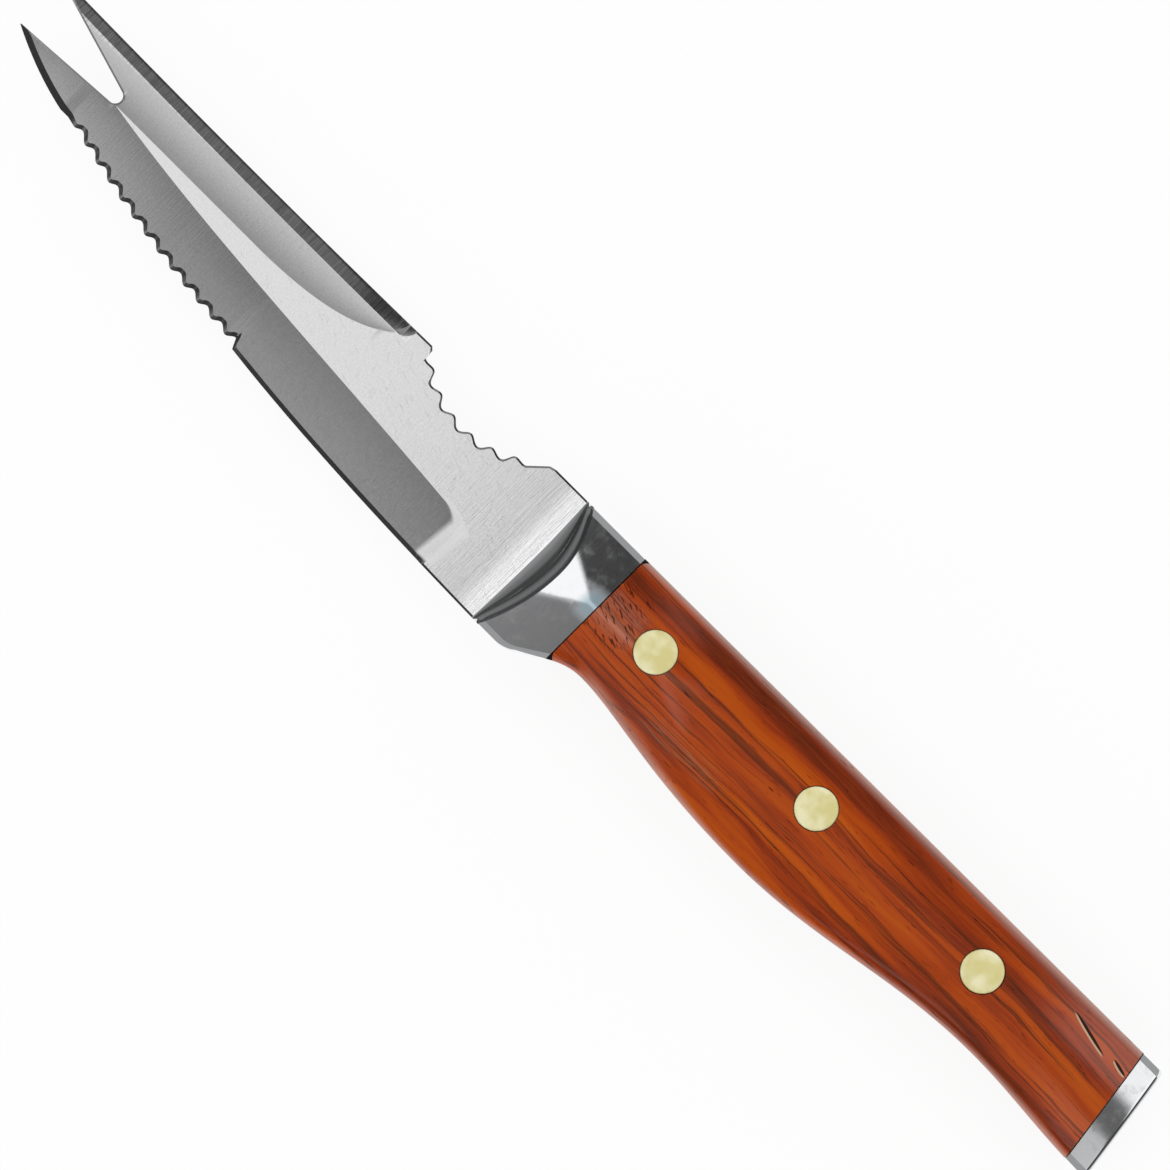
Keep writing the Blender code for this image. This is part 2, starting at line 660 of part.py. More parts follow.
def rivet_seat(name, side, centre, cutters, datum):
    """The stepped hole that a rivet's head and tube go in, turned as a cutter."""
    wide = HEAD_RADIUS + JOINT_GAP
    seat = HEAD_UNDERSIDE - JOINT_GAP
    inner = SEAT - CUT_MARGIN
    outer = HALF_HANDLE + CUT_MARGIN
    profile = [(0.0, outer), (wide, outer), (wide, seat), (RIVET_HOLE_RADIUS, seat),
               (RIVET_HOLE_RADIUS, inner), (0.0, inner)]
    if side < 0:
        profile = [(radius, -height) for radius, height in reversed(profile)]
    return mark_cutter(turned(name, profile, centre, cutters, datum))


def make_scale(side_name, side, parts, cutters, datum):
    name = "scale_" + side_name
    low, high = side_heights(side)
    keep = region(name + "_region", slanted_region(HALF_GAP, -HALF_GAP), low, high, cutters, datum)
    scale = envelope_piece(name, parts, datum, keep)
    for place in RIVET_STATIONS:
        cut(scale, rivet_seat(name + "_seat_" + place, side, rivet_centre(place), cutters, datum))
    return scale


def make_cap(parts, cutters, datum):
    above = BUTT_RISE + CUT_MARGIN
    under = -SWELL_DEPTH - CUT_MARGIN
    rear = CAP_THICKNESS + CUT_MARGIN
    outline = [(butt_line(y, offset), y)
               for y, offset in ((above, HALF_GAP), (under, HALF_GAP), (under, rear), (above, rear))]
    high = HALF_HANDLE + CUT_MARGIN
    keep = region("cap_region", outline, -high, high, cutters, datum)
    return envelope_piece("butt_cap", parts, datum, keep)


def make_rivet(place, parts, datum):
    """A solid pin with a head on the left, and on the right a head with the tube that the pin goes into."""
    centre = rivet_centre(place)
    pin = [(0.0, HEAD_TOP), (HEAD_RADIUS, HEAD_TOP), (HEAD_RADIUS, HEAD_UNDERSIDE),
           (PIN_RADIUS, HEAD_UNDERSIDE), (PIN_RADIUS, -RIVET_REACH), (0.0, -RIVET_REACH)]
    bore_floor = -RIVET_REACH - JOINT_GAP
    tube = [(0.0, bore_floor), (TUBE_BORE_RADIUS, bore_floor), (TUBE_BORE_RADIUS, RIVET_REACH),
            (TUBE_RADIUS, RIVET_REACH), (TUBE_RADIUS, -HEAD_UNDERSIDE), (HEAD_RADIUS, -HEAD_UNDERSIDE),
            (HEAD_RADIUS, -HEAD_TOP), (0.0, -HEAD_TOP)]
    name = "rivet_" + place
    return [turned(name + "_male", pin, centre, parts, datum),
            turned(name + "_female", tube, centre, parts, datum)]


def shade(thing, material):
    thing.data.materials.append(material)
    thing.data.shade_smooth()
    thing.data.set_sharp_from_angle(angle=math.radians(SHARP_ANGLE_DEGREES))


def rest_on_ground(pieces, datum):
    """Moves the datum so that the origin is at the bottom centre of the pieces' common bounding box."""
    depsgraph = bpy.context.evaluated_depsgraph_get()
    corners = []
    for piece in pieces:
        evaluated = piece.evaluated_get(depsgraph)
        corners.extend(evaluated.matrix_world @ vertex.co for vertex in evaluated.data.vertices)
    corners = np.array(corners)
    low = corners.min(axis=0)
    high = corners.max(axis=0)
    datum.location = (-(low[0] + high[0]) / 2, -(low[1] + high[1]) / 2, -low[2])


def main():
    clear_scene()
    parts = make_collection("bar_knife")
    cutters = make_collection("cutters")
    datum = bpy.data.objects.new("knife_datum", None)
    parts.objects.link(datum)
    steel = make_material("satin_steel", (0.62, 0.62, 0.62), 0.32, 1.0)
    blade = make_blade(parts, cutters, datum)
    shade(blade, steel)
    pieces = [blade]
    for side_name, side in (("left", 1), ("right", -1)):
        bolster = make_bolster(side_name, side, parts, cutters, datum)
        shade(bolster, make_material("polished_steel_" + side_name, (0.66, 0.67, 0.68), 0.12, 1.0))
        scale = make_scale(side_name, side, parts, cutters, datum)
        shade(scale, make_material("oiled_hardwood_" + side_name, (0.32, 0.06, 0.012), 0.28, 0.0))
        pieces += [bolster, scale]
    cap = make_cap(parts, cutters, datum)
    shade(cap, make_material("polished_cap_steel", (0.68, 0.69, 0.7), 0.1, 1.0))
    pieces.append(cap)
    for place in RIVET_STATIONS:
        brass = make_material("brass_" + place, (0.75, 0.66, 0.33), 0.3, 1.0)
        for half in make_rivet(place, parts, datum):
            shade(half, brass)
            pieces.append(half)
    rest_on_ground(pieces, datum)


main()
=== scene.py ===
"""The looks of the bar knife: a fine surface and a finish for each of its pieces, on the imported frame.

Every piece is drawn as the knife is ground: x = 0 at the joint of bolster and wood, x growing towards the
butt, y = 0 on the line of the blade's back, y falling towards the cutting edge, and z = 0 in the middle of
the blade's thickness. The boxes of the front rivet and the blade give the move from there to the frame.
"""

import math

import bmesh
import bpy
import numpy as np
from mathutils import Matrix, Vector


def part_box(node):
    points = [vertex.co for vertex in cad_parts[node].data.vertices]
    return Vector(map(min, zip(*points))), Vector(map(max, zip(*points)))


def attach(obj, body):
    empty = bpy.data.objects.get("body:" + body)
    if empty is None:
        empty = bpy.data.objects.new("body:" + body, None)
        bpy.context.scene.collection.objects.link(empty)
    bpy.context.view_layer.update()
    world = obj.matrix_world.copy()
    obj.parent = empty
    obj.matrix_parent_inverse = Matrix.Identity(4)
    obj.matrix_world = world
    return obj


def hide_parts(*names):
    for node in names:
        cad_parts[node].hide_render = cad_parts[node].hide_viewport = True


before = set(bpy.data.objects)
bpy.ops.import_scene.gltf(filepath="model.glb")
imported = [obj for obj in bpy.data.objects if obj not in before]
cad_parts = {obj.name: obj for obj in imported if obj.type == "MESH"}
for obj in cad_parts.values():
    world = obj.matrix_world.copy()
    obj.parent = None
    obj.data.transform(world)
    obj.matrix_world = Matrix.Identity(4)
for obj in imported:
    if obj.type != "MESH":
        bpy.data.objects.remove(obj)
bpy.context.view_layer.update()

MM = 0.001

# Thicknesses
BLADE_THICKNESS = 2.4 * MM
HANDLE_THICKNESS = 13.0 * MM
HAIRLINE = 0.03 * MM
HALF_JOINT = 0.09 * MM

# Blade, along its length from the upper prong's tip
BLADE_LENGTH = 108.9 * MM
NOTCH_LENGTH = 19.8 * MM
NOTCH_ROOT_RADIUS = 1.15 * MM
NOTCH_ROOT_DEPTH = 6.85 * MM
PRONG_SETBACK = 1.45 * MM
PRONG_TIP_DEPTH = 9.1 * MM
PRONG_EDGE_LENGTH = 12.9 * MM
PRONG_EDGE_DEPTH = 13.9 * MM
PRONG_EDGE_BULGE = 0.48 * MM
PRONG_TIP_WIDTH = 0.15 * MM
BACK_HOLLOW = 0.35 * MM
PRONG_FLAT_LENGTH = 1.6 * MM

# Serrated edge
TOOTH_COUNT = 13
TOOTH_PITCH = 3.08 * MM
TOOTH_DEPTH = 0.8 * MM
FIRST_TOOTH_STATION = 17.4 * MM
FIRST_TOOTH_DEPTH = 14.25 * MM
LAST_TOOTH_DEPTH = 20.15 * MM
TOOTH_LINE_BULGE = 0.93 * MM

# Plain edge and heel
EDGE_STEP_LENGTH = 0.75 * MM
PLAIN_EDGE_START_DEPTH = 20.9 * MM
HEEL_DEPTH = 23.85 * MM
PLAIN_EDGE_BEND_LENGTH = 18.8 * MM
PLAIN_EDGE_BEND_DEPTH = 23.2 * MM

# Toothed recess in the blade's back
RECESS_TO_BOLSTER = 20.2 * MM
RECESS_RADIUS = 16.2 * MM
RECESS_DEPTH = 5.0 * MM
RECESS_TEETH = 6
RECESS_PITCH_DEGREES = 12.8
RECESS_TOOTH_HEIGHT = 1.0 * MM
RECESS_FIRST_VALLEY_DEGREES = -40.2
RECESS_RAMP_LENGTH = 2.5 * MM
RECESS_RAMP_SHORTFALL = 0.25 * MM
RECESS_WALL_LEAN = 0.12 * MM
RECESS_CORNER = 0.5 * MM

# Ground faces of the blade
EDGE_BEVEL_DROP = 0.29 * MM
EDGE_WIDTH = 0.12 * MM
SPINE_WIDTH = 0.5 * MM
HOLLOW_EDGE_THICKNESS = 0.7 * MM
UPPER_HOLLOW_DEPTH = 0.45 * MM
UPPER_HOLLOW_WIDTH = 5.9 * MM
LOWER_HOLLOW_STRAIGHTNESS = 0.7
UPPER_HOLLOW_STRAIGHTNESS = 0.5
TOOTH_BEVEL_WIDTH = 0.65 * MM
PLAIN_BEVEL_WIDTH = 0.7 * MM
PRONG_BEVEL_WIDTH = 1.05 * MM
SWEDGE_WIDTH = 2.15 * MM
SWEDGE_TIP_WIDTH = 1.65 * MM
SWEDGE_END_STATION = 74.1 * MM
SWEDGE_END_LENGTH = 1.7 * MM
SWEDGE_END_SWEEP = 1.2 * MM
EDGE_BEVEL_END_STATION = 98.3 * MM
HOLLOW_END_STATION = 99.2 * MM
HOLLOW_END_LENGTH = 2.2 * MM
HOLLOW_END_DEPTH = 16.2 * MM
HOLLOW_END_LEAN = 0.1
BEVEL_FADE_LENGTH = 0.8 * MM
CORNER_POWER = 2.5
EASED_WIDTH = 0.3 * MM
EASED_DROP = 0.12 * MM
EASED_POWER = 1.2
SLANT_STEP = 0.04 * MM
MOST_SLANT = 2.2
# Bezier corners, in millimetres from the upper tip and below the back, of where each hollow meets the flat
LOWER_BORDER = ((19.9, 7.85), (40.8, 11.33), (67.0, 12.28), (96.0, 14.75))
UPPER_BORDER = ((50.0, 7.8), (62.0, 7.6), (68.5, 5.5), (72.5, 1.8))

# Bolster
BOLSTER_LENGTH = 11.9 * MM
BOLSTER_RAMP_LENGTH = 5.6 * MM
HEEL_CORNER = 1.4 * MM
JOINT_DEPTH = 20.45 * MM
SCOOP_RUN_AT_EDGE = 1.3 * MM
SCOOP_RUN_IN_MIDDLE = 4.65 * MM
SCOOP_MIDDLE_DEPTH = 10.0 * MM
SCOOP_TURN = math.radians(68)
BOLSTER_CHAMFER = 1.05 * MM
BOLSTER_CHAMFER_DROP = 0.78 * MM
BOLSTER_CHAMFER_POWER = 1.08
CHAMFER_GROWTH = 2.5
JOINT_TURN = 0.8 * MM
JOINT_TURN_REACH = 1.3 * MM
# The bolster's two broad facets meet at a ridge, cut away by a triangle that points at the wood
RIDGE_DEPTH = 10.1 * MM
TRIANGLE_APEX_TO_WOOD = 0.75 * MM
RIDGE_SOFTNESS = 0.45 * MM
TRIANGLE_SLOPE = 0.036
TRIANGLE_SOFTNESS = 0.015 * MM
UPPER_FACET_SLOPE = 0.068
LOWER_FACET_SLOPE = 0.058

# Handle
SCALE_LENGTH = 101.4 * MM
BUTT_RISE = 0.4 * MM
BUTT_SLANT_DEGREES = 8.3
CAP_THICKNESS = 4.1 * MM
FRONT_WAIST_STATION = 5.5 * MM
FRONT_WAIST_DEPTH = 18.75 * MM
SWELL_STATION = 40.4 * MM
SWELL_DEPTH = 21.95 * MM
REAR_WAIST_STATION = 84.0 * MM
REAR_WAIST_DEPTH = 17.25 * MM
BUTT_DEPTH = 18.5 * MM
FRONT_WAIST_REACH = 0.21
SWELL_REACH_FORWARD = 0.54
SWELL_REACH_BACK = 0.37
REAR_WAIST_REACH = 0.35
BUTT_REACH = 0.4
WOOD_ROUND = 1.5 * MM
WOOD_ROUND_POWER = 1.9
WOOD_CROWN = 0.35 * MM
FACETS_FADE_LENGTH = 24.0 * MM
CAP_CHAMFER = 1.1 * MM
CAP_CHAMFER_DROP = 0.8 * MM
CAP_CHAMFER_POWER = 1.08
CAP_END_ROUND = 0.75 * MM

# Rivets
RIVET_STATIONS = {"front": 10.5 * MM, "middle": 42.9 * MM, "rear": 76.5 * MM}
RIVET_DEPTHS = {"front": 8.55 * MM, "middle": 8.1 * MM, "rear": 7.75 * MM}
RIVET_HEAD_DIAMETER = 6.5 * MM
RIVET_HEAD_THICKNESS = 1.5 * MM
RIVET_HEAD_SINK = 0.03 * MM
RIVET_HEAD_CHAMFER = 0.16 * MM
RIVET_HEAD_CROWN = 0.1 * MM
RIVET_RING_GAP = 0.11 * MM
RIVET_PIN_DIAMETER = 2.4 * MM
RIVET_TUBE_WALL = 0.7 * MM
RIVET_CLEARANCE = 0.25 * MM
RIVET_REACH = 3.0 * MM

# Floor, room and camera
FLOOR_REACH = 600 * MM
FLOOR_GLOW = 0.88
FLOOR_TONE = 0.92
STRIP_LIGHT = 1.12
BUTT_FACES = (0.095, 0.105)
LEAST_HEIGHT = 0.05
LENS = 200.0
SENSOR_WIDTH = 36.0
PICTURE_WIDTH = 170 * MM
CAMERA_AIM = (2.73 * MM, 2.86 * MM, 7.5 * MM)
CAMERA_TURN = math.radians(45)
CLIP_START = 0.05
CLIP_END = 20.0

# Patterns of the finishes: how often each repeats per millimetre along x, y and z
GRINDING_LINES = (5.0, 0.2, 0.2)
STEEL_CLOUDS = (0.12, 0.3, 0.3)
STEEL_SPECKLE = (3.5, 3.5, 3.5)
SCRATCHES_ALONG = (0.4, 9.0, 9.0)
SCRATCHES_ACROSS = (9.0, 0.4, 0.4)
HAIRS_ACROSS = (6.0, 0.3, 0.3)
HAIRS_ALONG = (0.3, 6.0, 6.0)
RUB_MARKS = (0.5, 0.5, 0.5)
GRAIN_WANDER = (0.03, 0.1, 0.1)
GRAIN_RIPPLE = (0.14, 0.5, 0.5)
WOOD_BANDS = (0.02, 0.3, 0.3)
WOOD_STREAKS = (0.02, 1.5, 1.5)
WOOD_FIBRES = (0.15, 8.0, 8.0)
WOOD_PORES = (0.32, 5.5, 5.5)
WOOD_DASHES = (0.7, 3.6, 3.6)
BRASS_PATCHES = (0.3, 0.3, 0.3)
BRASS_SCRATCHES = (1.2, 14.0, 1.0)
BRASS_CROSSED = (13.0, 1.5, 1.0)

# How patterns lean and shift, and where scratches begin to show
SCRATCH_LEAN = 0.3
CROSSED_LEAN = 0.5
CROSSED_SHIFT = 7.0
SCRATCH_STEP = (0.66, 0.76)
DASH_LEAN = 0.45

# Places of marks in the drawing's millimetres: the start and end of a step, a band's low side, high side
# and soft width, or a patch's band in x and band in y
SWEDGE_STEP = (-2.425, -2.125)
SWEDGE_REAR = (-48.0, -46.5)
# Painted highlight: the blade's flats just ahead of the bolster are painted lighter, standing in for a
# reflection
PAINTED_HIGHLIGHT_BAND = (-BOLSTER_LENGTH / MM - 4.3, 0.0, 3.0)
FRONT_DIRT = (-0.5, 1.4, 0.2)
REAR_DIRT = (-0.5, 0.5, 0.2)
MATTE_START = (-24.4, -23.2)
MATTE_END = (-21.4, -19.8)
MATTE_FOOT = (-23.1, -22.5)
MATTE_TOP = (-14.6, -13.6)
# Painted reflection: a bluish patch of the bolster's face by the wood, painted into the colour and made less
# metallic
PAINTED_REFLECTION_PATCH = ((-3.4, 2.0, 2.0), (-13.6, -6.6, 2.4))
# Painted shade: the wood is painted darker inside its back edge, fading out towards the rear
PAINTED_BACK_SHADE = (-4.2, -0.7, 1.0)
PAINTED_BACK_SHADE_END = (40.0, 85.0)
DARKER_BACK = (-9.5, -6.0)
# Painted highlight: a pale strip painted along the wood's back edge
PAINTED_BACK_HIGHLIGHT = (-1.4, -0.1)
DASHED_PATCH = ((-1.0, 7.5, 1.0), (-13.5, -3.5, 1.0))
# Painted reflection: a pale pinkish sheen painted on the wood near the bolster
PAINTED_SHEEN_PATCH = ((-2.0, 8.5, 3.0), (-13.0, -4.5, 3.0))
PALE_PATCH = ((14.0, 33.0, 6.0), (-18.0, -14.0, 1.2))

# Painted shade and a painted highlight above the belly's line, which is taken as a cosine wave, shallower
# behind the rear waist
PAINTED_BELLY_SHADE = (0.3, 3.2, 1.0)
PAINTED_BELLY_HIGHLIGHT = (-0.1, 1.0)
PAINTED_BELLY_HIGHLIGHT_START = (3.0, 9.0)
BELLY_WAVE_RADIAN = 13.9
BELLY_WAVE_HEIGHT = 2.35
BELLY_MEAN_DEPTH = SWELL_DEPTH / MM - BELLY_WAVE_HEIGHT
BELLY_REAR_STEP = (85.0, 106.0)
BELLY_REAR_RISE = 0.95

# Open cracks: the centre and half length of each, and how a crack and the pale rim under it are shaped
CRACKS = (((93.8, -3.1), 4.0), ((100.4, -3.6), 1.5))
CRACK_LEAN = -0.24
CRACK_HALF_WIDTH = 0.26
RIM_HALF_WIDTH = 0.3
RIM_SHIFT = 0.25

# Colours
DIM_STEEL = (0.80, 0.81, 0.83, 1.0)
PALE_STEEL = (0.88, 0.88, 0.89, 1.0)
# Colour of the painted bluish reflection on the bolster
BLUE_PAINTED_REFLECTION = (0.42, 0.52, 0.58, 1.0)
BAND_STOPS = ((0.24, (0.09, 0.010, 0.003, 1.0)), (0.38, (0.22, 0.022, 0.004, 1.0)),
              (0.50, (0.36, 0.045, 0.003, 1.0)), (0.66, (0.48, 0.085, 0.003, 1.0)))
DARK_STREAK = (0.07, 0.011, 0.004, 1.0)
# Colour of the painted highlights along the wood's back and belly edges
PAINTED_HIGHLIGHT_WOOD = (0.50, 0.33, 0.28, 1.0)
ORANGE_FIBRE = (0.50, 0.10, 0.01, 1.0)
# Colour of the painted sheen near the bolster
PAINTED_SHEEN_WOOD = (0.36, 0.14, 0.09, 1.0)
PALE_WOOD = (0.26, 0.17, 0.11, 1.0)
DARK_PORE = (0.03, 0.005, 0.003, 1.0)
CRACK_CREAM = (0.55, 0.38, 0.24, 1.0)
CRACK_DARK = (0.02, 0.008, 0.006, 1.0)
YELLOW_BRASS = (0.78, 0.70, 0.30, 1.0)
CREAM_BRASS = (0.97, 0.92, 0.58, 1.0)
BRIGHT_BRASS = (0.98, 0.96, 0.80, 1.0)

# How finely each kind of curve and face is divided
CURVE_STEPS = 48
TOOTH_STEPS = 24
ROOT_STEPS = 28
SCOOP_STEPS = 36
ROUND_STEPS = 9
TURN_STEPS = 96
HOLE_STEPS = 32
EASED_PARTS = 3
HOLLOW_ROWS = 10
FLAT_ROWS = 3
LOWER_HOLLOW_ROWS = 14
BOLSTER_ROWS = 40
HANDLE_ROWS = 30
FINE_SPACING = 0.3 * MM
TANG_SPACING = 1.2 * MM
WOOD_SPACING = 0.8 * MM
CAP_SPACING = 8.0 * MM
LEAST_ROW_SPACING = 0.1 * MM
SWEEP_SPACING = 0.06 * MM
LEAST_SPACING = 0.02 * MM

# How far cutters stand out, how close points are joined, and the turns from which an edge looks sharp
CUT_MARGIN = 1.5 * MM
WELD = 0.0004 * MM
BLADE_SHARP_DEGREES = 5.0
BOLSTER_SHARP_DEGREES = 20.0
HANDLE_SHARP_DEGREES = 25.0
TURNED_SHARP_DEGREES = 30.0

# Worked out from the sizes above
BOLSTER_FRONT = -BOLSTER_LENGTH
TIP = BOLSTER_FRONT - BLADE_LENGTH
NOTCH_END = TIP + NOTCH_LENGTH
HALF_BLADE = BLADE_THICKNESS / 2
HALF_HANDLE = HANDLE_THICKNESS / 2
SEAT = HALF_BLADE + HAIRLINE
PIN_RADIUS = RIVET_PIN_DIAMETER / 2
TUBE_BORE_RADIUS = PIN_RADIUS + RIVET_CLEARANCE
TUBE_RADIUS = TUBE_BORE_RADIUS + RIVET_TUBE_WALL
RIVET_HOLE_RADIUS = TUBE_RADIUS + RIVET_CLEARANCE
HEAD_RADIUS = RIVET_HEAD_DIAMETER / 2
HEAD_TOP = HALF_HANDLE - RIVET_HEAD_SINK
HEAD_UNDERSIDE = HEAD_TOP - RIVET_HEAD_THICKNESS
BUTT_LEAN = math.tan(math.radians(BUTT_SLANT_DEGREES))


def drawing_to_frame():
    """The move from the drawing's place to the frame's, from the front rivet and the blade's mid-plane."""
    low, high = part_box("rivet_front_male")
    blade_low, blade_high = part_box("blade")
    middle = (low + high) / 2
    height = (blade_low.z + blade_high.z) / 2
    return np.array((middle.x - RIVET_STATIONS["front"], middle.y + RIVET_DEPTHS["front"], height))


PLACE = drawing_to_frame()


# Curves of the outline


def held(share):
    """A share kept between 0 and 1."""
    return np.clip(share, 0.0, 1.0)


def smooth(share):
    """0 below 0 and 1 above 1, smooth between."""
    t = held(share)
    return t * t * (3 - 2 * t)


def curve_through(corners):
    """Points of the Bezier curve whose control polygon is the given corners."""
    t = np.linspace(0.0, 1.0, CURVE_STEPS + 1)[:, None]
    points = [np.array([corner], dtype=float) for corner in corners]
    while len(points) > 1:
        points = [(1 - t) * first + t * second for first, second in zip(points, points[1:])]
    return points[0]


def bowed(start, end, bulge):
    """A shallow curve that stands the bulge below its chord, measured along y in the middle."""
    middle = ((start[0] + end[0]) / 2, (start[1] + end[1]) / 2 - 2 * bulge)
    return curve_through([start, middle, end])


def waved(start, end, first_reach, last_reach):
    """A curve that is level at both ends; each reach is the share of its run that stays near its end."""
    run = end[0] - start[0]
    return curve_through([start, (start[0] + first_reach * run, start[1]),
                          (end[0] - last_reach * run, end[1]), end])


def joined(runs):
    """The runs of points in one, without the repeated points where they meet."""
    points = np.vstack(runs)
    step = np.linalg.norm(np.diff(points, axis=0), axis=1)
    return points[np.concatenate(([True], step > WELD))]


def on_line(x, *runs):
    """y at x on the line through runs of points, whichever way they run."""
    points = np.vstack(runs)
    points = points[np.argsort(points[:, 0], kind="stable")]
    return np.interp(x, points[:, 0], points[:, 1])


def prong_edge():
    """The lower prong's outer edge, from its tip to the flat ahead of the first tooth."""
    tip = (TIP + PRONG_SETBACK, -PRONG_TIP_DEPTH - PRONG_TIP_WIDTH)
    corner = (tip[0] + PRONG_EDGE_LENGTH, -PRONG_EDGE_DEPTH)
    edge = bowed(tip, corner, PRONG_EDGE_BULGE)
    return np.vstack((edge, [(corner[0] + PRONG_FLAT_LENGTH, corner[1])]))


def tooth_line():
    """The curve that the tips of the edge's teeth lie on."""
    start = (TIP + FIRST_TOOTH_STATION, -FIRST_TOOTH_DEPTH)
    end = (start[0] + (TOOTH_COUNT - 1) * TOOTH_PITCH, -LAST_TOOTH_DEPTH)
    return bowed(start, end, TOOTH_LINE_BULGE)


def serrated_edge():
    """Teeth as a cosine wave of the pitch and depth, hung from the tooth line; it ends in a valley."""
    tips = tooth_line()
    past_last = 0.5
    along = np.arange(0, (TOOTH_COUNT - 1 + past_last) * TOOTH_STEPS + 1) / TOOTH_STEPS
    x = tips[0, 0] + along * TOOTH_PITCH
    y = np.interp(x, tips[:, 0], tips[:, 1]) + TOOTH_DEPTH * (1 - np.cos(2 * math.pi * along)) / 2
    return np.column_stack((x, y))


def plain_edge():
    """The plain edge from the step behind the teeth to the bolster."""
    start_x = serrated_edge()[-1, 0] + EDGE_STEP_LENGTH
    start = (start_x, -PLAIN_EDGE_START_DEPTH)
    bend = (start_x + PLAIN_EDGE_BEND_LENGTH, -PLAIN_EDGE_BEND_DEPTH)
    return curve_through([start, bend, (BOLSTER_FRONT, -HEEL_DEPTH)])


def heel_and_ramp():
    """The bolster's underside: level behind the heel, then a rounded corner and a ramp up to the wood."""
    corner = np.array((-BOLSTER_RAMP_LENGTH, -HEEL_DEPTH))
    joint = np.array((0.0, -JOINT_DEPTH))
    up_ramp = (joint - corner) / np.linalg.norm(joint - corner)
    before = corner - np.array((HEEL_CORNER, 0.0))
    after = corner + up_ramp * HEEL_CORNER
    return np.vstack((curve_through([before, corner, after]), [joint]))


def butt_line(y, offset):
    """x on the slanted line that lies the given distance behind the joint of wood and cap."""
    return SCALE_LENGTH + offset + (BUTT_RISE - y) * BUTT_LEAN


def belly():
    """The underside of the wood: waist, palm swell, rear waist, and out to the butt's lower corner."""
    joint = (0.0, -JOINT_DEPTH)
    front_waist = (FRONT_WAIST_STATION, -FRONT_WAIST_DEPTH)
    swell = (SWELL_STATION, -SWELL_DEPTH)
    rear_waist = (REAR_WAIST_STATION, -REAR_WAIST_DEPTH)
    butt = (butt_line(-BUTT_DEPTH, CAP_THICKNESS), -BUTT_DEPTH)
    return joined([curve_through([joint, (front_waist[0] / 2, front_waist[1]), front_waist]),
                   waved(front_waist, swell, FRONT_WAIST_REACH, SWELL_REACH_FORWARD),
                   waved(swell, rear_waist, SWELL_REACH_BACK, SWELL_REACH_BACK),
                   waved(rear_waist, butt, REAR_WAIST_REACH, BUTT_REACH)])


def recess_outline():
    """The toothed recess from its front wall to its rear ramp: a circle with a cosine wave of teeth."""
    centre = (BOLSTER_FRONT - RECESS_TO_BOLSTER, RECESS_RADIUS - RECESS_DEPTH)
    turns = np.arange(RECESS_TEETH * TOOTH_STEPS + 1) / TOOTH_STEPS
    angle = np.radians(RECESS_FIRST_VALLEY_DEGREES + RECESS_PITCH_DEGREES * turns)
    radius = RECESS_RADIUS + RECESS_TOOTH_HEIGHT * (1 + np.cos(2 * math.pi * turns)) / 2
    wave = np.column_stack((centre[0] + radius * np.sin(angle), centre[1] - radius * np.cos(angle)))
    wall_top = (wave[0, 0] - RECESS_WALL_LEAN, -RECESS_CORNER)
    wall_corner = (wall_top[0] - RECESS_CORNER, 0.0)
    ramp_top = (wave[-1, 0] + RECESS_RAMP_LENGTH, -RECESS_RAMP_SHORTFALL)
    ramp_end = (ramp_top[0] + 2 * RECESS_CORNER, 0.0)
    return np.vstack(([wall_corner, wall_top], wave, [ramp_top, ramp_end]))


def prong_line():
    """The lower prong's edge, run on straight past its tip to the front of the upper prong."""
    edge = prong_edge()
    ahead = edge[0] + (edge[0] - edge[1]) * (edge[0, 0] - TIP) / (edge[1, 0] - edge[0, 0])
    return np.vstack(([ahead], edge))


UNDER = joined([prong_line(), serrated_edge(), plain_edge(), heel_and_ramp(), belly()])
RECESS = recess_outline()
OVER = joined([bowed((TIP, 0.0), RECESS[0], BACK_HOLLOW), RECESS,
               [(0.0, 0.0), (SCALE_LENGTH + CAP_THICKNESS, BUTT_RISE)]])
EDGE = joined([prong_line(), tooth_line(), plain_edge()])


def back_at(x):
    return on_line(x, OVER)


def under_at(x):
    return on_line(x, UNDER)


def edge_at(x):
    """The cutting edge without its teeth."""
    return on_line(x, EDGE)


# The fork's notch: two straight sides that touch the circle of its root

ROOT_CENTRE = np.array((NOTCH_END - NOTCH_ROOT_RADIUS, -NOTCH_ROOT_DEPTH))
UPPER_TIP = np.array((TIP, -PRONG_TIP_WIDTH))
LOWER_TIP = np.array((TIP + PRONG_SETBACK, -PRONG_TIP_DEPTH))


def notch_side(tip, side):
    """The angle of the line from the tip that touches the root's circle, and the x where it touches."""
    across = ROOT_CENTRE - tip
    distance = math.hypot(*across)
    angle = math.atan2(across[1], across[0]) + side * math.asin(NOTCH_ROOT_RADIUS / distance)
    touch = tip[0] + math.sqrt(distance**2 - NOTCH_ROOT_RADIUS**2) * math.cos(angle)
    return angle, touch


def notch_at(x, side):
    """y of the notch's upper (+1) or lower (-1) side: its straight line, then the root's circle."""
    tip = UPPER_TIP if side > 0 else LOWER_TIP
    angle, touch = notch_side(tip, side)
    straight = tip[1] + (x - tip[0]) * math.tan(angle)
    reach = np.clip(x - ROOT_CENTRE[0], -NOTCH_ROOT_RADIUS, NOTCH_ROOT_RADIUS)
    circle = ROOT_CENTRE[1] + side * np.sqrt(NOTCH_ROOT_RADIUS**2 - reach**2)
    return np.where(x < touch, straight, circle)


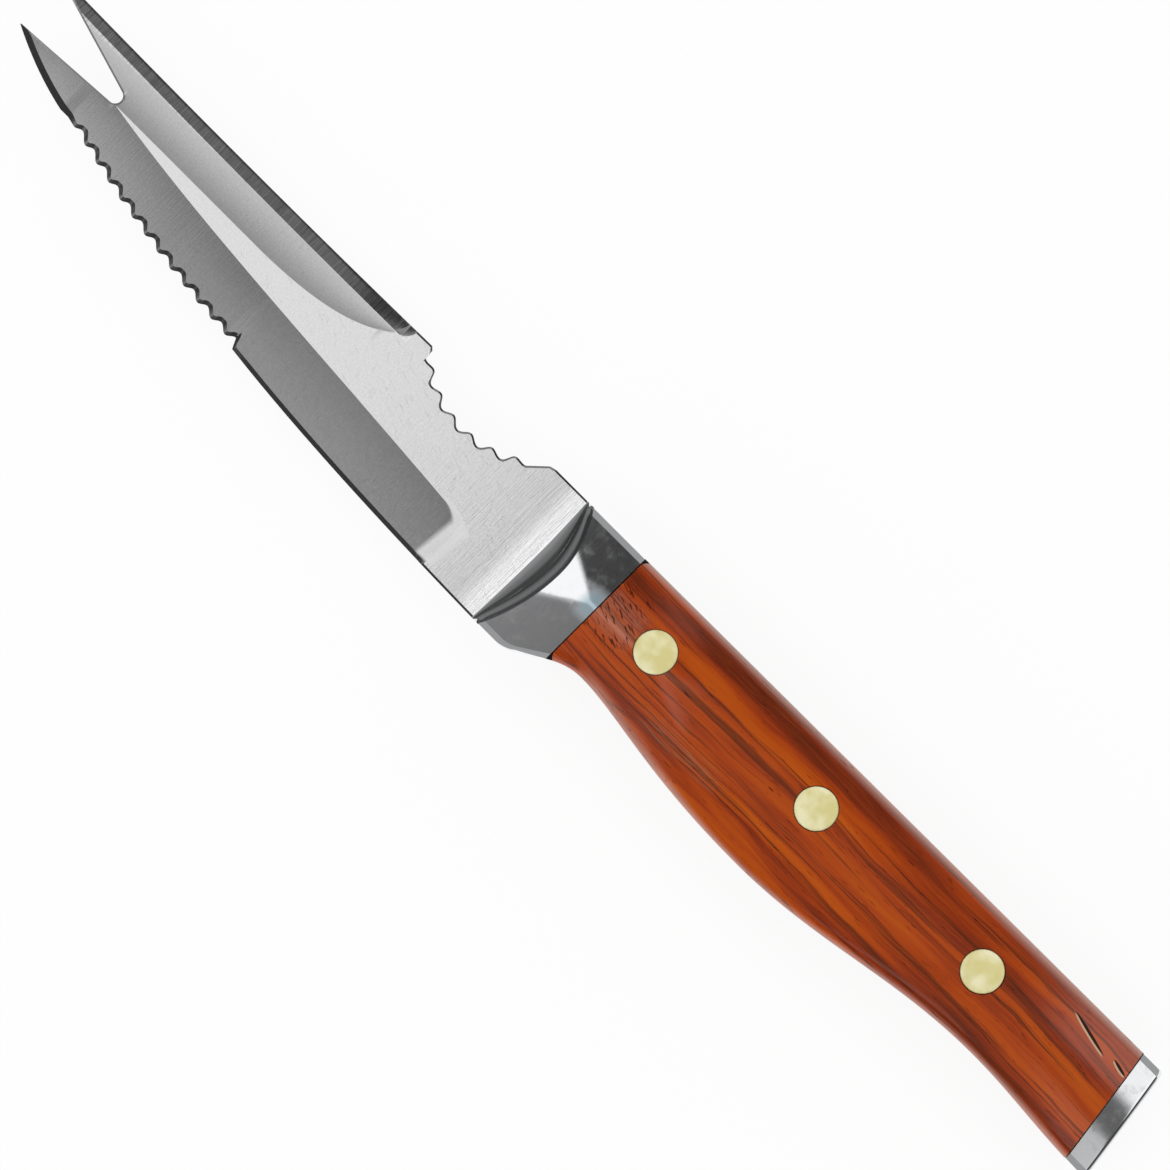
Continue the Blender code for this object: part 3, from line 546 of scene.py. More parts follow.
def notch_distance(x, y):
    """How far a point lies from the notch: square to a straight side, or out from the root's circle."""
    from_root = np.hypot(x - ROOT_CENTRE[0], y - ROOT_CENTRE[1]) - NOTCH_ROOT_RADIUS
    from_upper = (y - notch_at(x, 1)) * math.cos(notch_side(UPPER_TIP, 1)[0])
    from_lower = (notch_at(x, -1) - y) * math.cos(notch_side(LOWER_TIP, -1)[0])
    from_side = np.where(y > ROOT_CENTRE[1], from_upper, from_lower)
    return np.where(x < ROOT_CENTRE[0], from_side, from_root)


# Half the blade's thickness as a function of x and y


def from_tip(stations):
    """(distance from the tip, depth under the back) pairs in millimetres as drawing coordinates."""
    return [(TIP + along * MM, -depth * MM) for along, depth in stations]


def closing(x, end, length):
    """0 ahead of a grind's run-out and 1 from its end on, smooth between."""
    return smooth((x - (end - length)) / length)


def lower_border(x):
    """The line where the lower hollow meets the flat, run on straight ahead of the notch."""
    line = curve_through(from_tip(LOWER_BORDER))
    ahead = line[0] + (line[0] - line[1]) * CURVE_STEPS
    return on_line(x, [ahead], line)


def swedge_border(x):
    """The line where the swedge, the false edge ground on the blade's back, meets the upper hollow."""
    width = np.interp(x, [TIP, TIP + SWEDGE_END_STATION], [SWEDGE_TIP_WIDTH, SWEDGE_WIDTH])
    return back_at(x) - width


def upper_border(x):
    """The line where the upper hollow meets the flat; it closes on the swedge."""
    line = on_line(x, curve_through(from_tip(UPPER_BORDER)))
    return np.minimum(line, swedge_border(x) - LEAST_ROW_SPACING)


def hollow(share, depth, straightness):
    """Half thickness of a wheel's cut: part straight slope and part parabola, steepest at the border."""
    fall = straightness * share + (1 - straightness) * (1 - (1 - share) ** 2)
    return HALF_BLADE - depth * fall


def flat_grind(y, border, edge, border_height, edge_height):
    """Half thickness of a straight bevel through the border and the edge, as far as the blade's face."""
    share = (y - border) / (edge - border)
    return np.clip(border_height + (edge_height - border_height) * share, edge_height, HALF_BLADE)


def lower_hollow(x, y):
    """The lower hollow; its share of the way to the edge is a superellipse's, so that its end is rounded."""
    edge = edge_at(x)
    border = lower_border(x)
    from_edge = held((y - edge) / (border - edge))
    leaning = x - HOLLOW_END_LEAN * (y + HOLLOW_END_DEPTH)
    past = closing(leaning, TIP + HOLLOW_END_STATION, HOLLOW_END_LENGTH)
    left = (from_edge**CORNER_POWER + past**CORNER_POWER) ** (1 / CORNER_POWER)
    depth = HALF_BLADE - HOLLOW_EDGE_THICKNESS / 2
    return hollow(held(1 - left), depth, LOWER_HOLLOW_STRAIGHTNESS)


def upper_hollow_depth(x):
    """Depth of the upper hollow at the swedge, less where the hollow narrows."""
    width = swedge_border(x) - upper_border(x) - LEAST_ROW_SPACING
    return UPPER_HOLLOW_DEPTH * held(width / UPPER_HOLLOW_WIDTH)


def upper_hollow(x, y):
    border = upper_border(x)
    share = held((y - border) / (swedge_border(x) - border))
    return hollow(share, upper_hollow_depth(x), UPPER_HOLLOW_STRAIGHTNESS)


def swedge(x, y):
    """The false edge, a straight bevel whose rear end sweeps forward from the back to the upper hollow."""
    border = swedge_border(x)
    back = back_at(x)
    cut = flat_grind(y, border, back, HALF_BLADE - upper_hollow_depth(x), SPINE_WIDTH / 2)
    share = held((back - y) / (back - border))
    end = TIP + SWEDGE_END_STATION - SWEDGE_END_SWEEP * share**2
    return HALF_BLADE - (HALF_BLADE - cut) * (1 - closing(x, end, SWEDGE_END_LENGTH))


def slant(line, x):
    """How much farther the same distance square to the line is when it is measured along y."""
    rise = line(x + SLANT_STEP) - line(x - SLANT_STEP)
    return np.minimum(np.hypot(1.0, rise / (2 * SLANT_STEP)), MOST_SLANT)


def bevel_width(x):
    """Width of the edge bevel along y: broad on the lower prong, the same all round the teeth."""
    prong_end = TIP + PRONG_SETBACK + PRONG_EDGE_LENGTH
    teeth_end = FIRST_TOOTH_STATION + TIP + TOOTH_COUNT * TOOTH_PITCH
    stations = [prong_end, TIP + FIRST_TOOTH_STATION, teeth_end, teeth_end + TOOTH_PITCH]
    widths = [PRONG_BEVEL_WIDTH, TOOTH_BEVEL_WIDTH, TOOTH_BEVEL_WIDTH, PLAIN_BEVEL_WIDTH]
    return np.interp(x, stations, widths) * np.where(x > prong_end, slant(under_at, x), 1.0)


def edge_bevel(x, y):
    """How much the straight bevel along the cutting edge takes off, fading out with the lower hollow."""
    fade = held((TIP + EDGE_BEVEL_END_STATION - x) / BEVEL_FADE_LENGTH)
    return EDGE_BEVEL_DROP * fade * (1 - held((y - under_at(x)) / bevel_width(x)))


def eased(distance):
    """How much an eased corner takes off: nearly a chamfer, blending in at the eased width."""
    return EASED_DROP * (1 - held(distance / EASED_WIDTH)) ** EASED_POWER


def half_thickness(x, y):
    """The least that the hollows and the swedge leave, less the edge bevel and what eases the corners."""
    ground = np.minimum.reduce([lower_hollow(x, y), upper_hollow(x, y), swedge(x, y)]) - edge_bevel(x, y)
    bare_edge = np.where(x > TIP + EDGE_BEVEL_END_STATION, y - under_at(x), EASED_WIDTH)
    from_back = (back_at(x) - y) / slant(back_at, x)
    easing = np.maximum.reduce([eased(notch_distance(x, y)), eased(from_back), eased(bare_edge)])
    return np.maximum(ground - easing * ground / HALF_BLADE, EDGE_WIDTH / 2)


# Meshes from grids of points


def grid(x, y, z):
    """A sheet of points from the grids of their coordinates."""
    return np.stack((x, y, z), axis=-1)


def grid_quads(rows, columns):
    index = np.arange(rows * columns).reshape(rows, columns)
    corners = (index[:-1, :-1], index[1:, :-1], index[1:, 1:], index[:-1, 1:])
    return np.stack(corners, axis=-1).reshape(-1, 4)


def mesh_of(name, sheets):
    """One closed mesh from grids of points, given in the drawing's place, that meet edge to edge."""
    points = []
    quads = []
    count = 0
    for sheet in sheets:
        rows, columns = sheet.shape[:2]
        points.append(sheet.reshape(-1, 3) + PLACE)
        quads.append(grid_quads(rows, columns) + count)
        count += rows * columns
    mesh = bpy.data.meshes.new(name)
    mesh.from_pydata(np.vstack(points), [], np.vstack(quads))
    work = bmesh.new()
    work.from_mesh(mesh)
    bmesh.ops.remove_doubles(work, verts=work.verts, dist=WELD)
    bmesh.ops.dissolve_degenerate(work, edges=work.edges, dist=WELD)
    bmesh.ops.recalc_face_normals(work, faces=work.faces)
    work.to_mesh(mesh)
    work.free()
    return mesh


def shaded(mesh, sharp_degrees):
    """Smooth shading, with the edges that turn by more than the angle kept sharp."""
    mesh.shade_smooth()
    mesh.set_sharp_from_angle(angle=math.radians(sharp_degrees))


def linked(name, data):
    """An object of a mesh or a camera, linked to the scene."""
    made = bpy.data.objects.new(name, data)
    bpy.context.scene.collection.objects.link(made)
    return made


def shown(name, sheets, sharp_degrees):
    """An object of the sheets' mesh, shaded."""
    mesh = mesh_of(name, sheets)
    shaded(mesh, sharp_degrees)
    return linked(name, mesh)


def dress(piece, node, material):
    """The piece takes its finish, stands for its CAD node and rides with the knife."""
    piece.data.materials.clear()
    piece.data.materials.append(material)
    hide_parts(node)
    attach(piece, "root")


def mirrored(sheet):
    return sheet * (1.0, 1.0, -1.0)


def bridged(first, second):
    """A strip of faces between two lines of as many points."""
    return np.stack((first, second))


def walled(sheets, lines):
    """Sheets and their mirror images, with a wall between each line and its mirror image."""
    faces = [face for sheet in sheets for face in (sheet, mirrored(sheet))]
    return faces + [bridged(line, mirrored(line)) for line in lines]


def cut_out(piece, cutters, sharp_degrees):
    """Cuts the solids out of the piece's mesh, shades it again and throws the solids away."""
    for cutter in cutters:
        boolean = piece.modifiers.new(cutter.name, "BOOLEAN")
        boolean.solver = "EXACT"
        boolean.object = cutter
    whole = piece.data
    evaluated = piece.evaluated_get(bpy.context.evaluated_depsgraph_get())
    piece.data = bpy.data.meshes.new_from_object(evaluated)
    piece.data.name = piece.name
    piece.modifiers.clear()
    shaded(piece.data, sharp_degrees)
    bpy.data.meshes.remove(whole)
    for cutter in cutters:
        bpy.data.meshes.remove(cutter.data)


def turned(profile, centre, steps=TURN_STEPS):
    """A profile of (radius, height) points turned round the upright line at centre."""
    angle = np.linspace(0.0, 2 * math.pi, steps + 1)
    radius = np.array([point[0] for point in profile])
    height = np.array([point[1] for point in profile])
    x = centre[0] + np.cos(angle)[:, None] * radius
    y = centre[1] + np.sin(angle)[:, None] * radius
    z = np.broadcast_to(height, x.shape)
    sheet = grid(x, y, z)
    sheet[-1] = sheet[0]
    return [sheet]


def rivet_centre(place):
    return (RIVET_STATIONS[place], -RIVET_DEPTHS[place])


# The blade


def spaced(start, end, spacing):
    return np.linspace(start, end, max(2, int(round((end - start) / spacing)) + 1))


def grind_ends():
    """The x of close sections where the lower hollow, the swedge and the edge bevel run out."""
    hollow_end = TIP + HOLLOW_END_STATION
    bevel_end = TIP + EDGE_BEVEL_END_STATION
    swedge_end = TIP + SWEDGE_END_STATION
    rounded = 1 - np.linspace(0.0, 1.0, ROOT_STEPS) ** 2
    sweep = spaced(swedge_end - SWEDGE_END_SWEEP - SWEDGE_END_LENGTH, swedge_end, SWEEP_SPACING)
    return np.concatenate((hollow_end - HOLLOW_END_LENGTH * rounded, sweep,
                           [bevel_end, bevel_end + LEAST_SPACING]))


def blade_stations():
    """The x of every section: the corners of both outlines and of the notch's root, and even steps."""
    root_turn = np.radians(np.linspace(0.0, 90.0, ROOT_STEPS + 1))
    root = ROOT_CENTRE[0] + NOTCH_ROOT_RADIUS * np.sin(root_turn)
    touches = [notch_side(UPPER_TIP, 1)[1], notch_side(LOWER_TIP, -1)[1]]
    exact = np.unique(np.concatenate((root, touches, [TIP, LOWER_TIP[0]])))
    fine = spaced(TIP, 0.0, FINE_SPACING)
    coarse = spaced(0.0, SCALE_LENGTH, TANG_SPACING)
    outlines = np.concatenate((UNDER[:, 0], OVER[:, 0]))
    every = np.unique(np.concatenate((fine, coarse, outlines[outlines < 0.0], grind_ends(), [BOLSTER_FRONT])))
    clear = np.abs(every[:, None] - exact[None, :]).min(axis=1) > LEAST_SPACING
    every = np.unique(np.concatenate((every[clear], exact)))
    near_root = (every > ROOT_CENTRE[0]) & (every < NOTCH_END + LEAST_SPACING)
    gap_before = np.concatenate(([True], np.diff(every) > LEAST_SPACING))
    return every[(gap_before | near_root) & (every < SCALE_LENGTH)]


def between(first, last, steps):
    """Shares of the way from one row to the next, without the rows themselves."""
    shares = np.linspace(0.0, 1.0, steps + 1)[1:-1]
    return [first + (last - first) * share for share in shares]


def split_row(x):
    """The row behind the notch on which the blade's upper and lower halves meet."""
    top = swedge_border(np.array([NOTCH_END]))[0]
    foot = upper_border(np.array([NOTCH_END]))[0]
    share = (-NOTCH_ROOT_DEPTH - top) / (foot - top)
    return swedge_border(x) + (upper_border(x) - swedge_border(x)) * share


def upper_rows(x):
    """Rows of the upper half: the back, the swedge, the upper hollow and the notch's upper side."""
    back = back_at(x)
    ahead = x <= NOTCH_END
    last = np.where(ahead, notch_at(x, 1), split_row(x))
    near = last + EASED_WIDTH
    border = swedge_border(x)
    easing = EASED_WIDTH * slant(back_at, x)
    rows = [back, back - easing / EASED_PARTS, back - easing]
    rows += between(back - easing, border, HOLLOW_ROWS)
    rows += [border] + between(border, near, HOLLOW_ROWS)
    rows += [near, last + EASED_WIDTH / 2, last]
    return np.minimum.accumulate(np.stack([np.maximum(row, last) for row in rows], axis=1), axis=1)


def lower_rows(x):
    """Rows of the lower half: the notch's lower side, the flat, the lower hollow and the edge bevel."""
    ahead = x <= NOTCH_END
    first = np.where(ahead, notch_at(x, -1), split_row(x))
    edge = under_at(x)
    bevel = edge + bevel_width(x)
    upper = upper_border(x)
    lower = np.minimum(lower_border(np.maximum(x, NOTCH_END)), upper - LEAST_ROW_SPACING)
    near = first - EASED_WIDTH
    rows = [first, first - EASED_WIDTH / 2, near]
    rows += [(near + upper) / 2, upper] + between(upper, lower, FLAT_ROWS) + [lower]
    lower_start = np.minimum(lower, first)
    rows += between(lower_start, bevel, LOWER_HOLLOW_ROWS) + [bevel, (bevel + edge) / 2, edge]
    clipped = np.stack([np.clip(row, edge, first) for row in rows], axis=1)
    return np.minimum.accumulate(clipped, axis=1)


def blade_face(x, rows):
    along = np.broadcast_to(x[:, None], rows.shape)
    return grid(along, rows, half_thickness(along, rows))


def tang_end(face):
    """The last section, moved back to lie on the slanted joint with the cap."""
    end = face[-1:].copy()
    end[..., 0] = butt_line(end[..., 1], -HALF_JOINT)
    end[..., 2] = HALF_BLADE
    return np.concatenate((face, end))


def make_blade(material):
    """Left and right faces on a grid of sections and rows, z half the thickness, with walls between."""
    x = blade_stations()
    lower_x = x[x >= LOWER_TIP[0]]
    upper = tang_end(blade_face(x, upper_rows(x)))
    lower = tang_end(blade_face(lower_x, lower_rows(lower_x)))
    notch_upper = upper[: np.count_nonzero(x <= NOTCH_END), -1]
    notch_lower = lower[: np.count_nonzero(lower_x <= NOTCH_END), 0]
    lines = [upper[:, 0], lower[:, -1], notch_upper, notch_lower, upper[0], upper[-1], lower[0], lower[-1]]
    blade = shown("blade_and_tang", walled([upper, lower], lines), BLADE_SHARP_DEGREES)
    clear = HALF_BLADE + CUT_MARGIN
    bore = [(0.0, clear), (RIVET_HOLE_RADIUS, clear), (RIVET_HOLE_RADIUS, -clear), (0.0, -clear)]
    holes = [shown("tang_hole_" + place, turned(bore, rivet_centre(place), HOLE_STEPS), TURNED_SHARP_DEGREES)
             for place in RIVET_STATIONS]
    cut_out(blade, holes, BLADE_SHARP_DEGREES)
    dress(blade, "blade", material)


# Bolster, wood and cap: a section carried along the handle


def facets_drop(x, y):
    """Fall from the ridge: two facets that meet in a soft ridge, cut softly by the triangle's plane."""
    above = y + RIDGE_DEPTH
    soft = np.hypot(above, RIDGE_SOFTNESS)
    facets = UPPER_FACET_SLOPE * (soft + above) / 2 + LOWER_FACET_SLOPE * (soft - above) / 2
    triangle = TRIANGLE_SLOPE * (-TRIANGLE_APEX_TO_WOOD - x)
    return (facets + triangle + np.hypot(facets - triangle, TRIANGLE_SOFTNESS)) / 2


def wood_drop(x, y, middle, half):
    """The wood's fall from its highest line: the bolster's facets, fading into a gentle even crown."""
    fade = smooth(x / FACETS_FADE_LENGTH)
    crown = WOOD_CROWN * ((y - middle) / half) ** 2
    return (1 - fade) * facets_drop(np.zeros_like(x), y) + fade * crown


def rounded_corner(radius, power):
    """Distance in and drop of a corner's profile, a superellipse; near 1 it is a chamfer, at 2 an arc."""
    turn = np.linspace(0.0, math.pi / 2, ROUND_STEPS)
    inward = radius * (1 - np.cos(turn) ** (2 / power))
    drop = radius * (1 - np.sin(turn) ** (2 / power))
    return inward, drop


def section_rows(back, under, radius, power, inner_rows):
    """y, and the share of the corner's drop, of every point round a section from seat to seat."""
    inward, drop = rounded_corner(1.0, power)
    first = [back - radius * step for step in inward]
    last = [under + radius * step for step in inward[::-1]]
    rows = [back] + first + between(first[-1], last[0], inner_rows) + last + [under]
    drops = np.concatenate(([0.0], drop, np.zeros(inner_rows - 1), drop[::-1], [0.0]))
    return np.stack(rows, axis=1), drops


def slab(outer, seat):
    """A closed solid between a curved outer face and the flat seat under it."""
    inner = outer * (1.0, 1.0, 0.0) + (0.0, 0.0, seat)
    return [outer, inner, bridged(outer[0], inner[0]), bridged(outer[-1], inner[-1])]


def on_side(sheets, side):
    return [sheet * (1.0, 1.0, side) for sheet in sheets]


def scooped_part():
    """Sections of the concave scoop: an ellipse's arc from the blade's face up to the bolster's face.

    Its run is a parabola each way from its middle, so that it meets the face in an arc.
    """
    turn = np.linspace(0.0, SCOOP_TURN, SCOOP_STEPS + 1)[:, None]
    count = len(turn)
    climb = (1 - np.cos(turn)) / (1 - math.cos(SCOOP_TURN))
    share = held(climb[:, 0] * CHAMFER_GROWTH)
    rows, drops = section_rows(np.zeros(count), np.full(count, -HEEL_DEPTH), BOLSTER_CHAMFER * share,
                               BOLSTER_CHAMFER_POWER, BOLSTER_ROWS)
    reach = np.where(rows > -SCOOP_MIDDLE_DEPTH, SCOOP_MIDDLE_DEPTH, HEEL_DEPTH - SCOOP_MIDDLE_DEPTH)
    outward = ((rows + SCOOP_MIDDLE_DEPTH) / reach) ** 2
    run = SCOOP_RUN_IN_MIDDLE - (SCOOP_RUN_IN_MIDDLE - SCOOP_RUN_AT_EDGE) * outward
    x = BOLSTER_FRONT + run * np.sin(turn) / math.sin(SCOOP_TURN)
    face = HALF_HANDLE - facets_drop(x, rows)
    z = HALF_BLADE + (face - HALF_BLADE) * climb - BOLSTER_CHAMFER_DROP * share[:, None] * drops
    return grid(x, rows, z)


def faced_part(border_x):
    """Sections of the bolster's face, from the scoop's arc to the joint with the wood."""
    share = np.linspace(0.0, 1.0, SCOOP_STEPS + 1)[:, None]
    x = border_x + (-HALF_JOINT - border_x) * share
    along = x.mean(axis=1)
    count = len(along)
    rows, drops = section_rows(np.zeros(count), under_at(along), np.full(count, BOLSTER_CHAMFER),
                               BOLSTER_CHAMFER_POWER, BOLSTER_ROWS)
    moved = rows - rows[:, -1:] + under_at(x[:, -1])[:, None]
    rows = np.where(rows > -HEEL_DEPTH / 2, rows, moved)
    steep = np.where(rows < -HEEL_DEPTH / 2, 1 / slant(under_at, x), 1.0)
    return grid(x, rows, HALF_HANDLE - facets_drop(x, rows) - BOLSTER_CHAMFER_DROP * steep * drops)


def make_bolster(side_name, side, material):
    """The scoop's sections and then the face's, closed by a flat seat on the blade."""
    scoop = scooped_part()
    outer = np.concatenate((scoop, faced_part(scoop[-1:, :, 0])[1:]))
    outer[:, [0, -1], 2] = HALF_BLADE
    outer[..., 2] = np.maximum(outer[..., 2], HALF_BLADE)
    sheets = on_side(slab(outer, HALF_BLADE), side)
    cheek = shown("bolster_cheek_" + side_name, sheets, BOLSTER_SHARP_DEGREES)
    dress(cheek, "bolster_" + side_name, material)


def handle_sections(front, rear, spacing, radius, power):
    """A handle section carried from one end line to the other, each a function of y."""
    share = spaced(0.0, 1.0, spacing / SCALE_LENGTH)[:, None]
    along = front(-RIDGE_DEPTH) + (rear(-RIDGE_DEPTH) - front(-RIDGE_DEPTH)) * share[:, 0]
    rows, drops = section_rows(back_at(along), under_at(along), np.full(len(along), radius), power,
                               HANDLE_ROWS)
    x = front(rows) + (rear(rows) - front(rows)) * share
    under = under_at(x[:, -1])
    lower = rows < -RIDGE_DEPTH
    rows = np.where(lower, rows - rows[:, -1:] + under[:, None], rows)
    return x, rows, drops


def wood_face(x, rows):
    middle = (rows[:, :1] + rows[:, -1:]) / 2
    half = (rows[:, :1] - rows[:, -1:]) / 2
    return HALF_HANDLE - wood_drop(x, rows, middle, half)


def head_seat(side, place):
    """The stepped hole that a rivet's head and tube go in, as a solid to cut with."""
    wide = HEAD_RADIUS + RIVET_RING_GAP
    outer = HALF_HANDLE + CUT_MARGIN
    floor = HEAD_UNDERSIDE - HAIRLINE
    inner = SEAT - CUT_MARGIN
    profile = [(0.0, side * outer), (wide, side * outer), (wide, side * floor),
               (RIVET_HOLE_RADIUS, side * floor), (RIVET_HOLE_RADIUS, side * inner), (0.0, side * inner)]
    return shown("head_seat_" + place, turned(profile, rivet_centre(place)), TURNED_SHARP_DEGREES)


def wood_front(y):
    """x of the wood's front end: level with the joint, with its corners at back and belly turned away."""
    inside = np.minimum(-y, y + JOINT_DEPTH) / JOINT_TURN_REACH
    return HALF_JOINT + JOINT_TURN * (1 - held(inside)) ** 2


def make_scale(side_name, side, material):
    """The wood's section carried from the bolster to the cap, with the rivets' stepped holes."""
    x, rows, drops = handle_sections(wood_front, lambda y: butt_line(y, -HALF_JOINT),
                                     WOOD_SPACING, WOOD_ROUND, WOOD_ROUND_POWER)
    z = wood_face(x, rows) - WOOD_ROUND * drops
    z[:, [0, -1]] = SEAT
    sheets = on_side(slab(grid(x, rows, z), SEAT), side)
    scale = shown("wood_scale_" + side_name, sheets, HANDLE_SHARP_DEGREES)
    cut_out(scale, [head_seat(side, place) for place in RIVET_STATIONS], HANDLE_SHARP_DEGREES)
    dress(scale, "scale_" + side_name, material)


def make_cap(material):
    """The same section across the butt, drawn in at its end by a small arc, and mirrored."""
    x, rows, drops = handle_sections(lambda y: butt_line(y, HALF_JOINT),
                                     lambda y: butt_line(y, CAP_THICKNESS - CAP_END_ROUND),
                                     CAP_SPACING, CAP_CHAMFER, CAP_CHAMFER_POWER)
    turn = np.linspace(0.0, math.pi / 2, ROUND_STEPS)[:, None]
    inset = CAP_END_ROUND * (1 - np.cos(turn))
    last = rows[-1:]
    centre = (last[:, :1] + last[:, -1:]) / 2
    half = (last[:, :1] - last[:, -1:]) / 2
    drawn_in = centre + (last - centre) * (1 - inset / half)
    x = np.concatenate((x[:-1], butt_line(drawn_in, CAP_THICKNESS) - CAP_END_ROUND * (1 - np.sin(turn))))
    rows = np.concatenate((rows[:-1], drawn_in))
    z = wood_face(x, rows) - CAP_CHAMFER_DROP * drops
    z[-len(turn):] -= inset
    z[:, [0, -1]] = 0.0
    outer = grid(x, rows, z)
    cap = shown("butt_cap_steel", walled([outer], [outer[0], outer[-1]]), HANDLE_SHARP_DEGREES)
    dress(cap, "butt_cap", material)


# Rivets


def head_profile(side):
    """A head's profile from the middle of its crowned face, over a rounded rim, to its underside."""
    share = np.linspace(0.0, 1.0, ROUND_STEPS)
    flat = HEAD_RADIUS - RIVET_HEAD_CHAMFER
    crown = [(flat * s, side * (HEAD_TOP - RIVET_HEAD_CROWN * s * s)) for s in share]
    inward, drop = rounded_corner(RIVET_HEAD_CHAMFER, 2)
    low = HEAD_TOP - RIVET_HEAD_CROWN
    rim = [(HEAD_RADIUS - i, side * (low - d)) for i, d in zip(inward[::-1], drop[::-1])]
    return crown + rim[1:] + [(HEAD_RADIUS, side * HEAD_UNDERSIDE)]


def make_rivet(place, material):
    """A solid pin with a head on the left, and on the right a head with the tube that the pin goes into."""
    pin = head_profile(1) + [(PIN_RADIUS, HEAD_UNDERSIDE), (PIN_RADIUS, -RIVET_REACH), (0.0, -RIVET_REACH)]
    bore_floor = -RIVET_REACH - RIVET_CLEARANCE
    tube = head_profile(-1) + [(TUBE_RADIUS, -HEAD_UNDERSIDE), (TUBE_RADIUS, RIVET_REACH),
                               (TUBE_BORE_RADIUS, RIVET_REACH), (TUBE_BORE_RADIUS, bore_floor),
                               (0.0, bore_floor)]
    for half, profile in (("male", pin), ("female", tube)):
        node = "rivet_" + place + "_" + half
        rivet = shown(node + "_brass", turned(profile, rivet_centre(place)), TURNED_SHARP_DEGREES)
        dress(rivet, node, material)


# Node trees


def arithmetic(operation, turned_round=False):
    """A method that puts one Math node between a value and another value or number."""
    def method(self, other):
        first, second = (other, self) if turned_round else (self, other)
        return self.paint.value("ShaderNodeMath", {"operation": operation}, {0: first, 1: second})
    return method


class Value:
    """A number socket whose arithmetic adds Math nodes to its tree."""

    __add__ = arithmetic("ADD")
    __radd__ = arithmetic("ADD", True)
    __sub__ = arithmetic("SUBTRACT")
    __rsub__ = arithmetic("SUBTRACT", True)
    __mul__ = arithmetic("MULTIPLY")
    __rmul__ = arithmetic("MULTIPLY", True)
    __truediv__ = arithmetic("DIVIDE")
    __rtruediv__ = arithmetic("DIVIDE", True)
    at_least = arithmetic("MAXIMUM")

    def __init__(self, paint, socket):
        self.paint = paint
        self.socket = socket

    def cosine(self):
        return self.paint.value("ShaderNodeMath", {"operation": "COSINE"}, {0: self})

    def rising(self, low, high):
        """0 up to low and 1 from high on, smooth between."""
        return self.paint.value("ShaderNodeMapRange", {"interpolation_type": "SMOOTHSTEP"},
                                {"Value": self, "From Min": low, "From Max": high})

    def falling(self, low, high):
        return 1 - self.rising(low, high)

    def within(self, low, high, soft):
        """1 between low and high, fading to 0 over the soft width inside each."""
        return self.rising(low, low + soft) * self.falling(high - soft, high)

    def towards(self, other, share):
        return self + (other - self) * share


class Paint:
    """One node tree, and short ways to add what the finishes need."""

    def __init__(self, tree):
        self.tree = tree
        self.tree.nodes.clear()

    def node(self, kind, settings=None, inputs=None):
        """Adds a node: its settings are set first, then each input takes a link or a value."""
        made = self.tree.nodes.new(kind)
        for name, setting in (settings or {}).items():
            if name == "stops":
                set_stops(made.color_ramp, setting)
            else:
                setattr(made, name, setting)
        for name, given in (inputs or {}).items():
            source = getattr(given, "socket", given)
            if isinstance(source, bpy.types.NodeSocket):
                self.tree.links.new(source, made.inputs[name])
            else:
                made.inputs[name].default_value = source
        return made

    def value(self, kind, settings, inputs):
        return Value(self, self.node(kind, settings, inputs).outputs[0])

    def millimetres(self):
        """Object coordinates in millimetres."""
        place = self.node("ShaderNodeTexCoord").outputs["Object"]
        return self.scaled(place, (1 / MM, 1 / MM, 1 / MM))

    def scaled(self, vector, factors):
        inputs = {0: vector, 1: factors}
        return self.node("ShaderNodeVectorMath", {"operation": "MULTIPLY"}, inputs).outputs[0]

    def shifted(self, vector, x=0.0, y=0.0):
        step = self.node("ShaderNodeCombineXYZ", None, {"X": x, "Y": y}).outputs[0]
        return self.node("ShaderNodeVectorMath", {"operation": "ADD"}, {0: vector, 1: step}).outputs[0]

    def noise(self, vector, repeats, detail=2.0, roughness=0.5):
        """Noise that repeats about so often per millimetre along each axis."""
        inputs = {"Vector": self.scaled(vector, repeats), "Scale": 1.0, "Detail": detail,
                  "Roughness": roughness}
        return self.value("ShaderNodeTexNoise", None, inputs)

    def axes(self, vector):
        parts = self.node("ShaderNodeSeparateXYZ", None, {0: vector})
        return [Value(self, parts.outputs[i]) for i in range(3)]

    def ramp(self, share, stops):
        return self.node("ShaderNodeValToRGB", {"stops": stops}, {"Fac": share}).outputs["Color"]

    def mixed(self, share, first, second):
        """One colour laid over another by a share."""
        return self.node("ShaderNodeMix", {"data_type": "RGBA"}, {0: share, 6: first, 7: second}).outputs[2]

    def layered(self, colour, layers):
        """A colour with others laid over it in turn, each by its share."""
        for share, tint in layers:
            colour = self.mixed(share, colour, tint)
        return colour

    def bump(self, height, strength, distance):
        inputs = {"Height": height, "Strength": strength, "Distance": distance}
        return self.node("ShaderNodeBump", None, inputs).outputs["Normal"]

    def surface(self, inputs):
        shader = self.node("ShaderNodeBsdfPrincipled", None, inputs).outputs[0]
        self.node("ShaderNodeOutputMaterial", None, {"Surface": shader})


def set_stops(ramp, stops):
    while len(ramp.elements) < len(stops):
        ramp.elements.new(1.0)
    for element, (position, colour) in zip(ramp.elements, stops):
        element.position = position
        element.color = colour


def new_paint(name):
    material = bpy.data.materials.new(name)
    material.use_nodes = True
    return material, Paint(material.node_tree)


def grey(level):
    return (level, level, level, 1.0)


def drawing_axes(paint, place):
    """The drawing's x and y in millimetres, from the frame's."""
    east, north, _ = paint.axes(place)
    return east - PLACE[0] / MM, north - PLACE[1] / MM


# Finishes; lengths in them are in millimetres


def patch(x, y, place):
    """1 inside a box of the drawing, fading to 0 at its sides."""
    along, depth = place
    return x.within(*along) * y.within(*depth)


